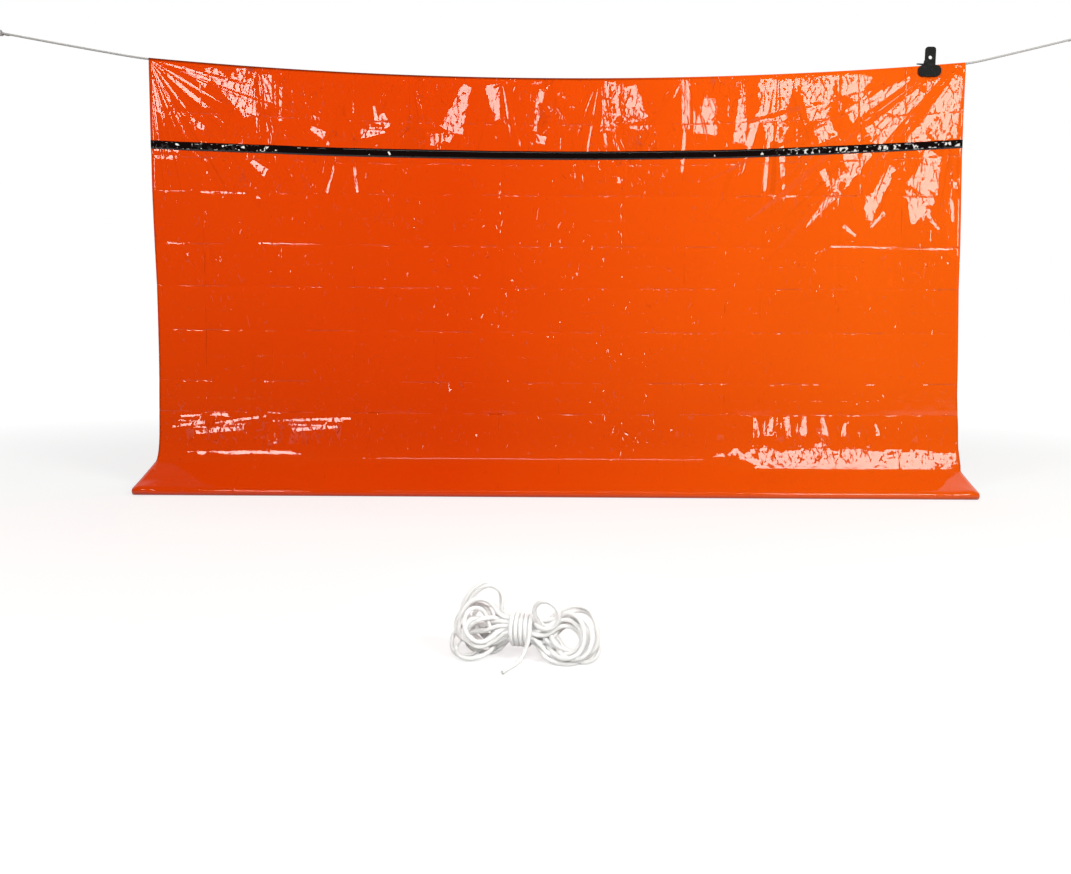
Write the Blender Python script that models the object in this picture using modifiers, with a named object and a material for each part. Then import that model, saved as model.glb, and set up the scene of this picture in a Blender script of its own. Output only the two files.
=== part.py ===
"""Emergency shelter: a tube of thin film hung over a cord, with one spring clip and a hank of spare cord.

Metres, +Z up. X runs along the ridge, -Y is the front with the black band, and the floor is at Z = 0.
"""

import math

import bmesh
import bpy
from mathutils import Matrix, Vector

# Film tube
TUBE_LENGTH = 2.440
FILM_THICKNESS = 0.0015
KINK_HALF_WIDTH = 0.080
KINK_HEIGHT = 0.100
KINK_ROUND = 0.030
KINK_START_SHARE = 0.93
WALL_CURVE = 1.3
TOE_HALF_WIDTH = 0.218
TOE_ROLL_RADIUS = 0.011
TOE_LAP = 0.004
TOE_STEPS = 3
RIDGE_ANGLES = tuple(math.radians(angle) for angle in (12, 52, 90))
LOWER_ROW_SHARES = (0.45, 0.70)
UPPER_ROW_DROPS = (0.060, 0.140)

# Folds in the film
FAN_FOLDS = 3
FAN_DEPTH = 0.010
FAN_REACH = 0.42
FAN_COLUMNS = (0, 0.035, 0.075, 0.12, 0.17, 0.23, 0.30, 0.38)
HANG_FOLD_SPACING = 0.29
HANG_FOLD_DEPTH = 0.006
HANG_FOLD_REACH = 0.30
FOLDS_START_DROP = 0.036
FOLDS_FULL_DROP = 0.130

# Black band, across the front wall
BAND_DROP = 0.2125
BAND_LEFT_FALL = 0.026
BAND_RIGHT_FALL = 0.010
BAND_WIDTH = 0.025
BAND_THICKNESS = 0.0006
BAND_CLEARANCE = 0.0005

# Cord
CORD_DIAMETER = 0.006
LINE_HEIGHT = 1.232
RIDGE_SAG = 0.052
RIDGE_STEPS = 40
LINE_STEP = 0.018

# Knots and eyes at the ends of the ridge line
KNOT_LENGTH = 0.019
KNOT_RADIUS = 0.0090
KNOT_TURNS = 3
EYE_LENGTH = 0.062
EYE_WIDTH = 0.032
EYE_SPREAD = 0.0075
EYE_SWELL = 2.3
EYE_STEPS = 20

# Spring clip
CLIP_FROM_END = 0.108
CLIP_THICKNESS = 0.003
CLIP_EDGE_ROUND = 0.0007
JAW_HALF_WIDTH = 0.034
JAW_HALF_HEIGHT = 0.018
JAW_MIDDLE_DROP = 0.0145
JAW_DROP = 0.0312
JAW_SQUARENESS = 3.0
LEVER_WIDTH = 0.0318
LEVER_RISE = 0.0543
LEVER_CORNER = 0.009
LEVER_HOLE_RADIUS = 0.0055
LEVER_HOLE_FROM_TIP = 0.0306
REAR_LEVER_LENGTH = 0.050
REAR_LEVER_SLOPE = math.radians(22)
PIN_ABOVE_LINE = 0.0128
PIN_RADIUS = 0.0015
PIN_BORE_CLEARANCE = 0.0003
PIN_HEAD_RADIUS = 0.0026
PIN_HEAD_THICKNESS = 0.0009
EAR_RADIUS = 0.0045
EAR_THICKNESS = 0.0024
REAR_EAR_INNER_FACE = 0.0094
EAR_TAB_SLOPE = math.radians(-34)
SPRING_WIRE = 0.0014
SPRING_TURNS = 4
SPRING_PITCH = 0.0020
SPRING_LEG_LENGTH = 0.022
SPRING_STEPS = 12
JAW_SIDE_STEPS = 14
LEVER_CORNER_STEPS = 6
HOLE_STEPS = 24
BORE_STEPS = 16
EAR_STEPS = 10
EAR_ROOT = 0.0012
EAR_SIDE_GAP = 0.0003
REAR_HOLE_FROM_TIP = 0.0150

# Hank of spare cord
HANK_LOOPS = 12
HANK_LAYERS = 4
HANK_POINTS = 24
HANK_WAIST_STEP = 0.0081
HANK_LAYER_STEP = 0.0067
HANK_WAIST_FLAT = 0.023
HANK_RISE_RUN = 0.070
HANK_TIP_INNER = 0.080
HANK_TIP_STEP = 0.0078
HANK_LEFT_LOBE = (0.043, 0.006)
HANK_RIGHT_LOBE = (0.036, 0.002)
HANK_LIFT = (0.0, 0.16, 0.38, 0.64)
HANK_PLACE = (-0.075, -1.450)
HANK_TURN = math.radians(-12)
HANK_TOP_LAYER = HANK_LAYERS - 1
WRAP_TURNS = 4.6
WRAP_PITCH = 0.0068
WRAP_CORNER = 0.012
WRAP_OFFSET = 0.0087
WRAP_TAIL_ROUTE = ((0.0, 0.0), (-0.002, 0.012), (-0.008, 0.026), (-0.017, 0.040), (-0.022, 0.054))
TAIL_BEND_STEPS = 4
FLOOR_CLEARANCE = 0.0001
LEAST_CORD_GAP = 0.0004

# Fits
TOUCH_GAP = 0.0003

HALF_LENGTH = TUBE_LENGTH / 2
CLIP_X = HALF_LENGTH - CLIP_FROM_END
CORD_RADIUS = CORD_DIAMETER / 2
RIDGE_RADIUS = CORD_RADIUS + TOUCH_GAP + FILM_THICKNESS / 2

# Outer stretches of the ridge line: (distance from the film's end, rise above it)
LINE_LEFT_ROUTE = (
    (0.0, 0.0),
    (0.05, 0.0065),
    (0.14, 0.0210),
    (0.24, 0.0378),
    (0.34, 0.0550),
    (0.435, 0.0718),
)
LINE_RIGHT_ROUTE = (
    (0.0, 0.0),
    (0.04, 0.0070),
    (0.11, 0.0230),
    (0.18, 0.0395),
    (0.25, 0.0562),
    (0.325, 0.0745),
)


def clear_scene():
    for item in list(bpy.data.objects):
        bpy.data.objects.remove(item)


def make_collection(name):
    found = bpy.data.collections.get(name) or bpy.data.collections.new(name)
    if found.name not in bpy.context.scene.collection.children:
        bpy.context.scene.collection.children.link(found)
    return found


clear_scene()
SHELTER = make_collection("emergency_tube_shelter")
CUTTERS = make_collection("cutters")


def make_material(name, colour, roughness, metallic=0.0):
    material = bpy.data.materials.new(name)
    material.use_nodes = True
    shader = material.node_tree.nodes["Principled BSDF"]
    shader.inputs["Base Color"].default_value = (*colour, 1.0)
    shader.inputs["Roughness"].default_value = roughness
    shader.inputs["Metallic"].default_value = metallic
    return material


FILM_FRONT = make_material("orange_film_front", (0.90, 0.13, 0.01), 0.22)
FILM_BACK = make_material("orange_film_back", (0.86, 0.12, 0.01), 0.24)
FILM_FLOOR = make_material("orange_film_floor", (0.80, 0.10, 0.01), 0.28)
BAND_BLACK = make_material("black_band_film", (0.012, 0.012, 0.013), 0.25)
CORD_WHITE = make_material("white_cord", (0.78, 0.78, 0.76), 0.85)
HANK_WHITE = make_material("white_spare_cord", (0.80, 0.80, 0.78), 0.85)
CLIP_BLACK = make_material("black_clip_plastic", (0.020, 0.020, 0.022), 0.45)
CLIP_REAR_BLACK = make_material("black_clip_plastic_rear", (0.024, 0.024, 0.026), 0.45)
PIN_STEEL = make_material("pin_steel", (0.52, 0.52, 0.54), 0.32, 1.0)
SPRING_STEEL = make_material("spring_steel", (0.42, 0.42, 0.44), 0.35, 1.0)


def place_object(name, data, material, collection=SHELTER):
    item = bpy.data.objects.new(name, data)
    collection.objects.link(item)
    data.materials.clear()
    data.materials.append(material)
    return item


def as_cutter(item):
    for holder in list(item.users_collection):
        holder.objects.unlink(item)
    CUTTERS.objects.link(item)
    item.hide_render = True
    item.display_type = "WIRE"
    return item


def union(target, tool):
    step = target.modifiers.new("join_" + tool.name, "BOOLEAN")
    step.operation = "UNION"
    step.solver = "EXACT"
    step.object = as_cutter(tool)


def shade_round(mesh, degrees=35):
    mesh.shade_smooth()
    mesh.set_sharp_from_angle(angle=math.radians(degrees))


def smooth_step(share):
    share = min(max(share, 0.0), 1.0)
    return share * share * (3 - 2 * share)


# Film: its section and its folds

def line_height(x):
    """Height of the ridge line's centre, which sags between the ends of the film."""
    return LINE_HEIGHT + RIDGE_SAG * (x / HALF_LENGTH) ** 2


def wall_out(share):
    """How far the wall stands out from the middle plane, share 0 at the line and 1 at the kink."""
    return RIDGE_RADIUS + (KINK_HALF_WIDTH - RIDGE_RADIUS) * share ** WALL_CURVE


def fan_fold(from_end, drop):
    """Folds that spread from a top corner of the film."""
    reach = math.hypot(from_end, drop)
    angle = math.atan2(drop, from_end)
    wave = 0.5 - 0.5 * math.cos(4 * FAN_FOLDS * angle)
    return FAN_DEPTH * wave * smooth_step(reach / (FAN_REACH / 2)) * math.exp(-((reach / FAN_REACH) ** 2))


def hang_fold(x, drop):
    """Folds that hang straight down from the ridge."""
    wave = 0.5 + 0.5 * math.cos(2 * math.pi * x / HANG_FOLD_SPACING + 1.2 * math.sin(5 * x))
    return HANG_FOLD_DEPTH * wave * math.exp(-drop / HANG_FOLD_REACH)


def fold(x, drop, share):
    rise = smooth_step((drop - FOLDS_START_DROP) / (FOLDS_FULL_DROP - FOLDS_START_DROP))
    fade = 1 - smooth_step(share / KINK_START_SHARE)
    depth = fan_fold(HALF_LENGTH - x, drop) + fan_fold(HALF_LENGTH + x, drop) + hang_fold(x, drop)
    return depth * rise * fade


def wall_point(x, share):
    """A point on the wall's middle surface, as (distance from the middle plane, height)."""
    top = line_height(x)
    drop = share * (top - KINK_HEIGHT)
    return wall_out(share) + fold(x, drop, share), top - drop


def band_edges(x):
    """Drops of the band's two edges below the line, which sags more than the band does."""
    fall = BAND_LEFT_FALL if x < 0 else BAND_RIGHT_FALL
    top = BAND_DROP + fall * (x / HALF_LENGTH) ** 2
    return top, top + BAND_WIDTH


def share_at_drop(x, drop):
    return drop / (line_height(x) - KINK_HEIGHT)


def toe_arc():
    """The round fold at the toe, from where the flare meets it to where it touches the floor."""
    radius = TOE_ROLL_RADIUS - FILM_THICKNESS / 2
    centre = Vector((TOE_HALF_WIDTH - TOE_ROLL_RADIUS, TOE_ROLL_RADIUS))
    kink = Vector((KINK_HALF_WIDTH, KINK_HEIGHT))
    to_centre = centre - kink
    slope = math.atan2(to_centre.y, to_centre.x) + math.asin(radius / to_centre.length)
    first = slope + math.pi / 2
    last = -math.pi / 2
    points = []
    for step in range(TOE_STEPS + 1):
        angle = first + (last - first) * step / TOE_STEPS
        points.append((centre.x + radius * math.cos(angle), centre.y + radius * math.sin(angle)))
    return points + [(centre.x - TOE_LAP, FILM_THICKNESS / 2)]


def wall_section(x):
    """The wall's middle surface at x, from the top of the ridge down to the floor."""
    top = line_height(x)
    rows = [(TOUCH_GAP / 2, top + RIDGE_RADIUS)]
    for angle in RIDGE_ANGLES:
        rows.append((RIDGE_RADIUS * math.sin(angle), top + RIDGE_RADIUS * math.cos(angle)))
    for drop in (FOLDS_START_DROP,) + UPPER_ROW_DROPS + band_edges(x):
        rows.append(wall_point(x, share_at_drop(x, drop)))
    for share in LOWER_ROW_SHARES + (KINK_START_SHARE,):
        rows.append(wall_point(x, share))
    arc = toe_arc()
    kink = Vector((KINK_HALF_WIDTH, KINK_HEIGHT))
    above = Vector(rows[-1])
    below = kink + (Vector(arc[0]) - kink).normalized() * KINK_ROUND
    rows.append(tuple(above * 0.25 + kink * 0.5 + below * 0.25))
    rows.append(tuple(below))
    return rows + arc


def wall_columns():
    """Places along the ridge where the folds are followed, closer together towards the ends."""
    half = [HALF_LENGTH - distance for distance in FAN_COLUMNS]
    middle_step = HANG_FOLD_SPACING * 0.42
    inner = half[-1]
    count = math.ceil(2 * inner / middle_step)
    middle = [inner - 2 * inner * step / count for step in range(1, count)]
    return [-x for x in half] + [-x for x in middle] + [x for x in reversed(half)]


def sheet_from_rows(name, columns, section, thickness, material, side):
    """A grid laid over the section at each column; side is -1 in front and 1 behind."""
    row_count = len(section(0.0))
    shape = bmesh.new()
    bmesh.ops.create_grid(shape, x_segments=len(columns) - 1, y_segments=row_count - 1, size=0.5)
    sections = [section(x) for x in columns]
    for vertex in shape.verts:
        column = round((vertex.co.x + 0.5) * (len(columns) - 1))
        row = round((0.5 - vertex.co.y) * (row_count - 1))
        out, height = sections[column][row]
        vertex.co = (columns[column], side * out, height)
    bmesh.ops.triangulate(shape, faces=shape.faces, quad_method="FIXED")
    if side > 0:
        bmesh.ops.reverse_faces(shape, faces=shape.faces)
    mesh = bpy.data.meshes.new(name)
    shape.to_mesh(mesh)
    shape.free()
    item = place_object(name, mesh, material)
    shell = item.modifiers.new("film", "SOLIDIFY")
    shell.thickness = thickness
    shell.offset = 0.0
    shell.use_even_offset = True
    shade_round(mesh, 50)
    return item


def band_section(x):
    clear = FILM_THICKNESS / 2 + BAND_CLEARANCE + BAND_THICKNESS / 2
    rows = []
    for drop in band_edges(x):
        out, height = wall_point(x, share_at_drop(x, drop))
        rows.append((out + clear, height))
    return rows


def make_film():
    columns = wall_columns()
    sheet_from_rows("front_wall", columns, wall_section, FILM_THICKNESS, FILM_FRONT, -1)
    sheet_from_rows("back_wall", columns, wall_section, FILM_THICKNESS, FILM_BACK, 1)
    sheet_from_rows("black_band", columns, band_section, BAND_THICKNESS, BAND_BLACK, -1)
    floor_width = 2 * (TOE_HALF_WIDTH - TOE_ROLL_RADIUS - TOE_LAP - TOUCH_GAP)
    box("floor_sheet", (TUBE_LENGTH, floor_width, FILM_THICKNESS), (0, 0, FILM_THICKNESS / 2), FILM_FLOOR)


def box(name, size, centre, material):
    shape = bmesh.new()
    bmesh.ops.create_cube(shape, size=1.0)
    bmesh.ops.scale(shape, vec=Vector(size), verts=shape.verts)
    mesh = bpy.data.meshes.new(name)
    shape.to_mesh(mesh)
    shape.free()
    item = place_object(name, mesh, material)
    item.location = centre
    return item


# Cords

def smooth_route(points, step):
    """Points a step apart along a smooth curve through the route's points."""
    stations = [Vector(point) for point in points]
    padded = [2 * stations[0] - stations[1]] + stations + [2 * stations[-1] - stations[-2]]
    fine = [stations[0]]
    for index in range(1, len(padded) - 2):
        before, start, end, after = padded[index - 1:index + 3]
        parts = max(1, math.ceil((end - start).length / step))
        for part in range(1, parts + 1):
            t = part / parts
            fine.append(
                0.5
                * (
                    2 * start
                    + (end - before) * t
                    + (2 * before - 5 * start + 4 * end - after) * t * t
                    + (3 * start - before - 3 * end + after) * t ** 3
                )
            )
    return fine


def tube(name, points, diameter, material, resolution=2, sharp_ends=True):
    """A round tube along the points."""
    curve = bpy.data.curves.new(name, "CURVE")
    curve.dimensions = "3D"
    curve.bevel_depth = diameter / 2
    curve.bevel_resolution = resolution
    curve.use_fill_caps = sharp_ends
    spline = curve.splines.new("POLY")
    spline.points.add(len(points) - 1)
    for spot, point in zip(spline.points, points):
        spot.co = (*point, 1.0)
    return place_object(name, curve, material)


def least_gap(points, others, diameter, apart):
    """Least distance between the surfaces of a tube and another, or of a tube and itself."""
    def fill(route):
        filled = []
        travelled = 0.0
        for start, end in zip(route, route[1:]):
            length = (end - start).length
            parts = max(1, math.ceil(length / (diameter / 4)))
            for part in range(parts):
                share = part / parts
                filled.append((start.lerp(end, share), travelled + length * share))
            travelled += length
        return filled, travelled

    first, length = fill(points)
    second = first if others is None else fill(others)[0]
    cell = diameter * 2
    grid = {}
    for spot, along in second:
        grid.setdefault(tuple(int(math.floor(value / cell)) for value in spot), []).append((spot, along))
    least = 10.0
    for spot, along in first:
        home = tuple(int(math.floor(value / cell)) for value in spot)
        for dx in (-1, 0, 1):
            for dy in (-1, 0, 1):
                for dz in (-1, 0, 1):
                    for other, other_along in grid.get((home[0] + dx, home[1] + dy, home[2] + dz), []):
                        if others is None and abs(along - other_along) < apart:
                            continue
                        least = min(least, (spot - other).length)
    return least - diameter, length


def turned(name, profile, material, steps):
    """A shape turned about the X axis, from its (place along X, radius) profile."""
    mesh = bpy.data.meshes.new(name)
    shape = bmesh.new()
    spots = [shape.verts.new((along, radius, 0.0)) for along, radius in profile]
    for start, end in zip(spots, spots[1:]):
        shape.edges.new((start, end))
    shape.to_mesh(mesh)
    shape.free()
    item = place_object(name, mesh, material)
    screw = item.modifiers.new("turn", "SCREW")
    screw.axis = "X"
    screw.steps = steps
    screw.render_steps = steps
    screw.use_merge_vertices = True
    screw.merge_threshold = 0.00001
    screw.use_smooth_shade = True
    screw.use_normal_calculate = True
    return item


def line_route(side):
    """The free stretch of the ridge line on one side of the film, from the film's end to its knot."""
    route = LINE_LEFT_ROUTE if side < 0 else LINE_RIGHT_ROUTE
    start = line_height(HALF_LENGTH)
    return [(side * (HALF_LENGTH + TOUCH_GAP + along), 0.0, start + rise) for along, rise in route]


def knot_profile():
    """Three turns of cord side by side, as a closed barrel."""
    turn = KNOT_LENGTH / KNOT_TURNS
    waist = KNOT_RADIUS - CORD_DIAMETER * 0.22
    profile = [(0.0, 0.0), (0.0, KNOT_RADIUS * 0.72)]
    for index in range(KNOT_TURNS):
        profile.append((turn * (index + 0.5), KNOT_RADIUS))
        if index < KNOT_TURNS - 1:
            profile.append((turn * (index + 1), waist))
    profile.append((KNOT_LENGTH, KNOT_RADIUS * 0.72))
    profile.append((KNOT_LENGTH, 0.0))
    return profile


def eye_route():
    """A drop-shaped eye beyond the knot, whose two ends meet the knot squarely."""
    lead = CORD_DIAMETER
    points = [Vector((0.0, 0.0, -EYE_SPREAD / 2))]
    for index in range(EYE_STEPS + 1):
        angle = math.pi * index / EYE_STEPS
        swell = (EYE_WIDTH - EYE_SPREAD) / 2 * EYE_SWELL * math.sin(angle) ** 1.5
        along = lead + (EYE_LENGTH - lead) * math.sin(angle)
        points.append(Vector((along, 0.0, -math.cos(angle) * (EYE_SPREAD / 2 + swell))))
    return points + [Vector((0.0, 0.0, EYE_SPREAD / 2))]


def make_ridge_line():
    columns = [-HALF_LENGTH + TUBE_LENGTH * step / RIDGE_STEPS for step in range(RIDGE_STEPS + 1)]
    held = [(x, 0.0, line_height(x)) for x in columns]
    tube("ridge_line", held, CORD_DIAMETER, CORD_WHITE)
    for side, word in ((-1, "left"), (1, "right")):
        route = smooth_route(line_route(side), LINE_STEP)
        tube("ridge_line_" + word, route, CORD_DIAMETER, CORD_WHITE)
        end = route[-1]
        way = (end - route[-2]).normalized()
        frame = Matrix.Translation(end) @ Vector((1, 0, 0)).rotation_difference(way).to_matrix().to_4x4()
        knot = turned("line_knot_" + word, knot_profile(), CORD_WHITE, 14)
        knot.matrix_world = frame @ Matrix.Translation((TOUCH_GAP, 0, 0))
        eye = tube("line_eye_" + word, eye_route(), CORD_DIAMETER, CORD_WHITE)
        eye.matrix_world = frame @ Matrix.Translation((KNOT_LENGTH + 2 * TOUCH_GAP, 0, 0))


# Hank of spare cord

def hank_layer(turn):
    """How far out the spiral is, and in which layer, after so many turns."""
    per_layer = HANK_LOOPS / HANK_LAYERS
    layer = min(int(turn / per_layer), HANK_TOP_LAYER)
    along = turn - layer * per_layer
    spread = along if layer % 2 == 0 else per_layer - along
    level = float(layer)
    if layer < HANK_TOP_LAYER and per_layer - along < 0.25:
        level += 0.5 - 2 * (per_layer - along)
    if layer > 0 and along < 0.25:
        level -= 0.5 - 2 * along
    return spread, level


def hank_point(turn):
    """A point of the hank in its own frame: X along it, Y across it, Z up from the floor."""
    spread, level = hank_layer(turn)
    angle = 2 * math.pi * turn + math.pi / 2
    along = (HANK_TIP_INNER + HANK_TIP_STEP * spread) * math.cos(angle)
    inner, step = HANK_LEFT_LOBE if along < 0 else HANK_RIGHT_LOBE
    past_waist = abs(along) - HANK_WAIST_FLAT
    lobe = (inner + step * spread) * smooth_step(past_waist / HANK_RISE_RUN)
    across = math.sin(angle) * (HANK_WAIST_STEP * (0.5 + spread) + lobe)
    lower = int(level)
    upper = min(lower + 1, HANK_TOP_LAYER)
    tilt = HANK_LIFT[lower] + (HANK_LIFT[upper] - HANK_LIFT[lower]) * (level - lower)
    waist_rise = WRAP_OFFSET * (1 - smooth_step(past_waist / 0.032))
    height = CORD_RADIUS + FLOOR_CLEARANCE + waist_rise + level * HANK_LAYER_STEP
    height += tilt * abs(across) * smooth_step(past_waist / 0.05)
    return Vector((along, across, height))


def wrap_sides():
    """The four straight sides of the loop round the waist: length, start and way of each."""
    per_layer = HANK_LOOPS / HANK_LAYERS
    front = -HANK_WAIST_STEP * per_layer - WRAP_OFFSET
    back = HANK_WAIST_STEP * (per_layer + 0.5) + WRAP_OFFSET
    low = CORD_RADIUS + FLOOR_CLEARANCE
    high = low + 2 * WRAP_OFFSET + HANK_TOP_LAYER * HANK_LAYER_STEP
    width = back - front - 2 * WRAP_CORNER
    height = high - low - 2 * WRAP_CORNER
    return (
        (height, (front, low + WRAP_CORNER), (0, 1)),
        (width, (front + WRAP_CORNER, high), (1, 0)),
        (height, (back, high - WRAP_CORNER), (0, -1)),
        (width, (back - WRAP_CORNER, low), (-1, 0)),
    )


def wrap_ring(share):
    """A point of the loop round the waist, as (across, height); share 0 is the foot of its front."""
    sides = wrap_sides()
    quarter = WRAP_CORNER * math.pi / 2
    left = (share % 1.0) * sum(side[0] + quarter for side in sides)
    for length, start, way in sides:
        if left <= length:
            return start[0] + way[0] * left, start[1] + way[1] * left
        left -= length
        if left <= quarter:
            angle = left / WRAP_CORNER
            ahead = length + WRAP_CORNER * math.sin(angle)
            inside = WRAP_CORNER * (1 - math.cos(angle))
            return start[0] + way[0] * ahead + way[1] * inside, start[1] + way[1] * ahead - way[0] * inside
        left -= quarter
    return sides[0][1]


def wrap_points():
    """The turns round the hank's waist and the tail that lies on the floor in front of it."""
    count = round(WRAP_TURNS * HANK_POINTS)
    first = -WRAP_PITCH * WRAP_TURNS / 2
    points = []
    for index in range(count + 1):
        turn = WRAP_TURNS * index / count
        across, height = wrap_ring(WRAP_TURNS - turn)
        points.append(Vector((first + WRAP_PITCH * turn, across, height)))
    leave = points[-1]
    for step in range(1, TAIL_BEND_STEPS + 1):
        angle = math.pi / 2 * step / TAIL_BEND_STEPS
        outward = Vector((0, -WRAP_CORNER * (1 - math.cos(angle)), -WRAP_CORNER * math.sin(angle)))
        points.append(leave + outward)
    foot = points.pop()
    route = [(foot.x + along, foot.y - forward, foot.z) for along, forward in WRAP_TAIL_ROUTE]
    return points + smooth_route(route, 1.5 * CORD_DIAMETER)


def make_hank():
    frame = Matrix.Translation((*HANK_PLACE, 0.0)) @ Matrix.Rotation(HANK_TURN, 4, "Z")
    loops = [hank_point(index / HANK_POINTS) for index in range(HANK_LOOPS * HANK_POINTS + 1)]
    wraps = wrap_points()
    for name, points, others in (
        ("cord_hank", loops, None),
        ("hank_wrap", wraps, None),
        ("hank_wrap to cord_hank", wraps, loops),
    ):
        gap, length = least_gap(points, others, CORD_DIAMETER, 4 * CORD_DIAMETER)
        enough = gap > LEAST_CORD_GAP
        print(f"{name}: least gap {gap * 1000:.2f} mm, length {length:.2f} m, enough {enough}")
    tube("cord_hank", [frame @ point for point in loops], CORD_DIAMETER, HANK_WHITE, 1)
    tube("hank_wrap", [frame @ point for point in wraps], CORD_DIAMETER, HANK_WHITE, 1)


# Spring clip

def clip_line_height():
    return line_height(CLIP_X)


def jaw_face():
    """Distance from the middle plane to the inner faces of the jaws, which rest on the film."""
    share = share_at_drop(CLIP_X, JAW_DROP)
    return wall_out(share) + FILM_THICKNESS / 2 + TOUCH_GAP


def jaw_side():
    """The right side of the jaw, from its flat bottom up to the lever, as (across, height)."""
    power = 2 / JAW_SQUARENESS
    low = math.asin(((JAW_DROP - JAW_MIDDLE_DROP) / JAW_HALF_HEIGHT) ** (1 / power))
    high = math.acos((LEVER_WIDTH / 2 / JAW_HALF_WIDTH) ** (1 / power))
    points = []
    for step in range(JAW_SIDE_STEPS + 1):
        angle = -low + (high + low) * step / JAW_SIDE_STEPS
        across = JAW_HALF_WIDTH * math.cos(angle) ** power
        height = math.copysign(JAW_HALF_HEIGHT * abs(math.sin(angle)) ** power, angle) - JAW_MIDDLE_DROP
        points.append((across, height))
    return points


def rounded_tip(top):
    """The right half of a lever's rounded end, whose end is at this height."""
    points = []
    for step in range(LEVER_CORNER_STEPS + 1):
        angle = math.pi / 2 * step / LEVER_CORNER_STEPS
        across = LEVER_WIDTH / 2 - LEVER_CORNER * (1 - math.cos(angle))
        points.append((across, top - LEVER_CORNER * (1 - math.sin(angle))))
    return points


def circle(centre, radius, steps):
    turns = [2 * math.pi * step / steps for step in range(steps)]
    return [(centre[0] + radius * math.cos(turn), centre[1] + radius * math.sin(turn)) for turn in turns]


def mirrored(right):
    return right + [(-across, height) for across, height in reversed(right)]


def plate(name, outlines, thickness, material, frame, edge_round=0.0):
    """A flat plate from its outline and its holes, in the XY plane of frame and centred on it."""
    curve = bpy.data.curves.new(name + "_outline", "CURVE")
    curve.dimensions = "2D"
    curve.fill_mode = "BOTH"
    curve.extrude = thickness / 2
    for outline in outlines:
        spline = curve.splines.new("POLY")
        spline.points.add(len(outline) - 1)
        for spot, point in zip(spline.points, outline):
            spot.co = (*point, 0.0, 1.0)
        spline.use_cyclic_u = True
    drawn = bpy.data.objects.new(name + "_outline", curve)
    SHELTER.objects.link(drawn)
    mesh = bpy.data.meshes.new_from_object(drawn.evaluated_get(bpy.context.evaluated_depsgraph_get()))
    bpy.data.objects.remove(drawn)
    shape = bmesh.new()
    shape.from_mesh(mesh)
    bmesh.ops.remove_doubles(shape, verts=shape.verts, dist=0.00001)
    bmesh.ops.dissolve_limit(shape, angle_limit=math.radians(1), verts=shape.verts, edges=shape.edges)
    shape.to_mesh(mesh)
    shape.free()
    mesh.name = name
    item = place_object(name, mesh, material)
    item.matrix_world = frame
    if edge_round:
        bevel = item.modifiers.new("edge_round", "BEVEL")
        bevel.width = edge_round
        bevel.segments = 2
        bevel.limit_method = "ANGLE"
        bevel.angle_limit = math.radians(50)
    shade_round(mesh)
    return item


def pin_centre():
    return Vector((CLIP_X, 0.0, clip_line_height() + PIN_ABOVE_LINE))


def ear(name, across, slope, reach, material):
    """A tab across the pin, from the pin out to its plate, with the pin's bore."""
    outline = []
    for step in range(EAR_STEPS + 1):
        angle = slope + math.pi / 2 + math.pi * step / EAR_STEPS
        outline.append((EAR_RADIUS * math.cos(angle), EAR_RADIUS * math.sin(angle)))
    for angle in (slope - math.pi / 2, slope + math.pi / 2):
        outline.append(
            (
                reach * math.cos(slope) + EAR_RADIUS * math.cos(angle),
                reach * math.sin(slope) + EAR_RADIUS * math.sin(angle),
            )
        )
    bore = circle((0.0, 0.0), PIN_RADIUS + PIN_BORE_CLEARANCE, BORE_STEPS)
    sideways = Matrix(((0, 0, 1, 0), (1, 0, 0, 0), (0, 1, 0, 0), (0, 0, 0, 1)))
    frame = Matrix.Translation(pin_centre() + Vector((across, 0, 0))) @ sideways
    return plate(name, [outline, bore], EAR_THICKNESS, material, frame)


def front_ear_middle():
    return REAR_EAR_INNER_FACE + EAR_THICKNESS * 1.5 + EAR_SIDE_GAP


def make_clip_front():
    face = jaw_face()
    right = jaw_side() + rounded_tip(LEVER_RISE)
    hole = circle((0.0, LEVER_RISE - LEVER_HOLE_FROM_TIP), LEVER_HOLE_RADIUS, HOLE_STEPS)
    upright = Matrix.Rotation(math.pi / 2, 4, "X")
    frame = Matrix.Translation((CLIP_X, -face - CLIP_THICKNESS / 2, clip_line_height())) @ upright
    front = plate("clip_front", [mirrored(right), hole], CLIP_THICKNESS, CLIP_BLACK, frame, CLIP_EDGE_ROUND)
    for side, word in ((-1, "left"), (1, "right")):
        tab = ear("clip_front_ear_" + word, side * front_ear_middle(), math.pi, face + EAR_ROOT, CLIP_BLACK)
        union(front, tab)


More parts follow.
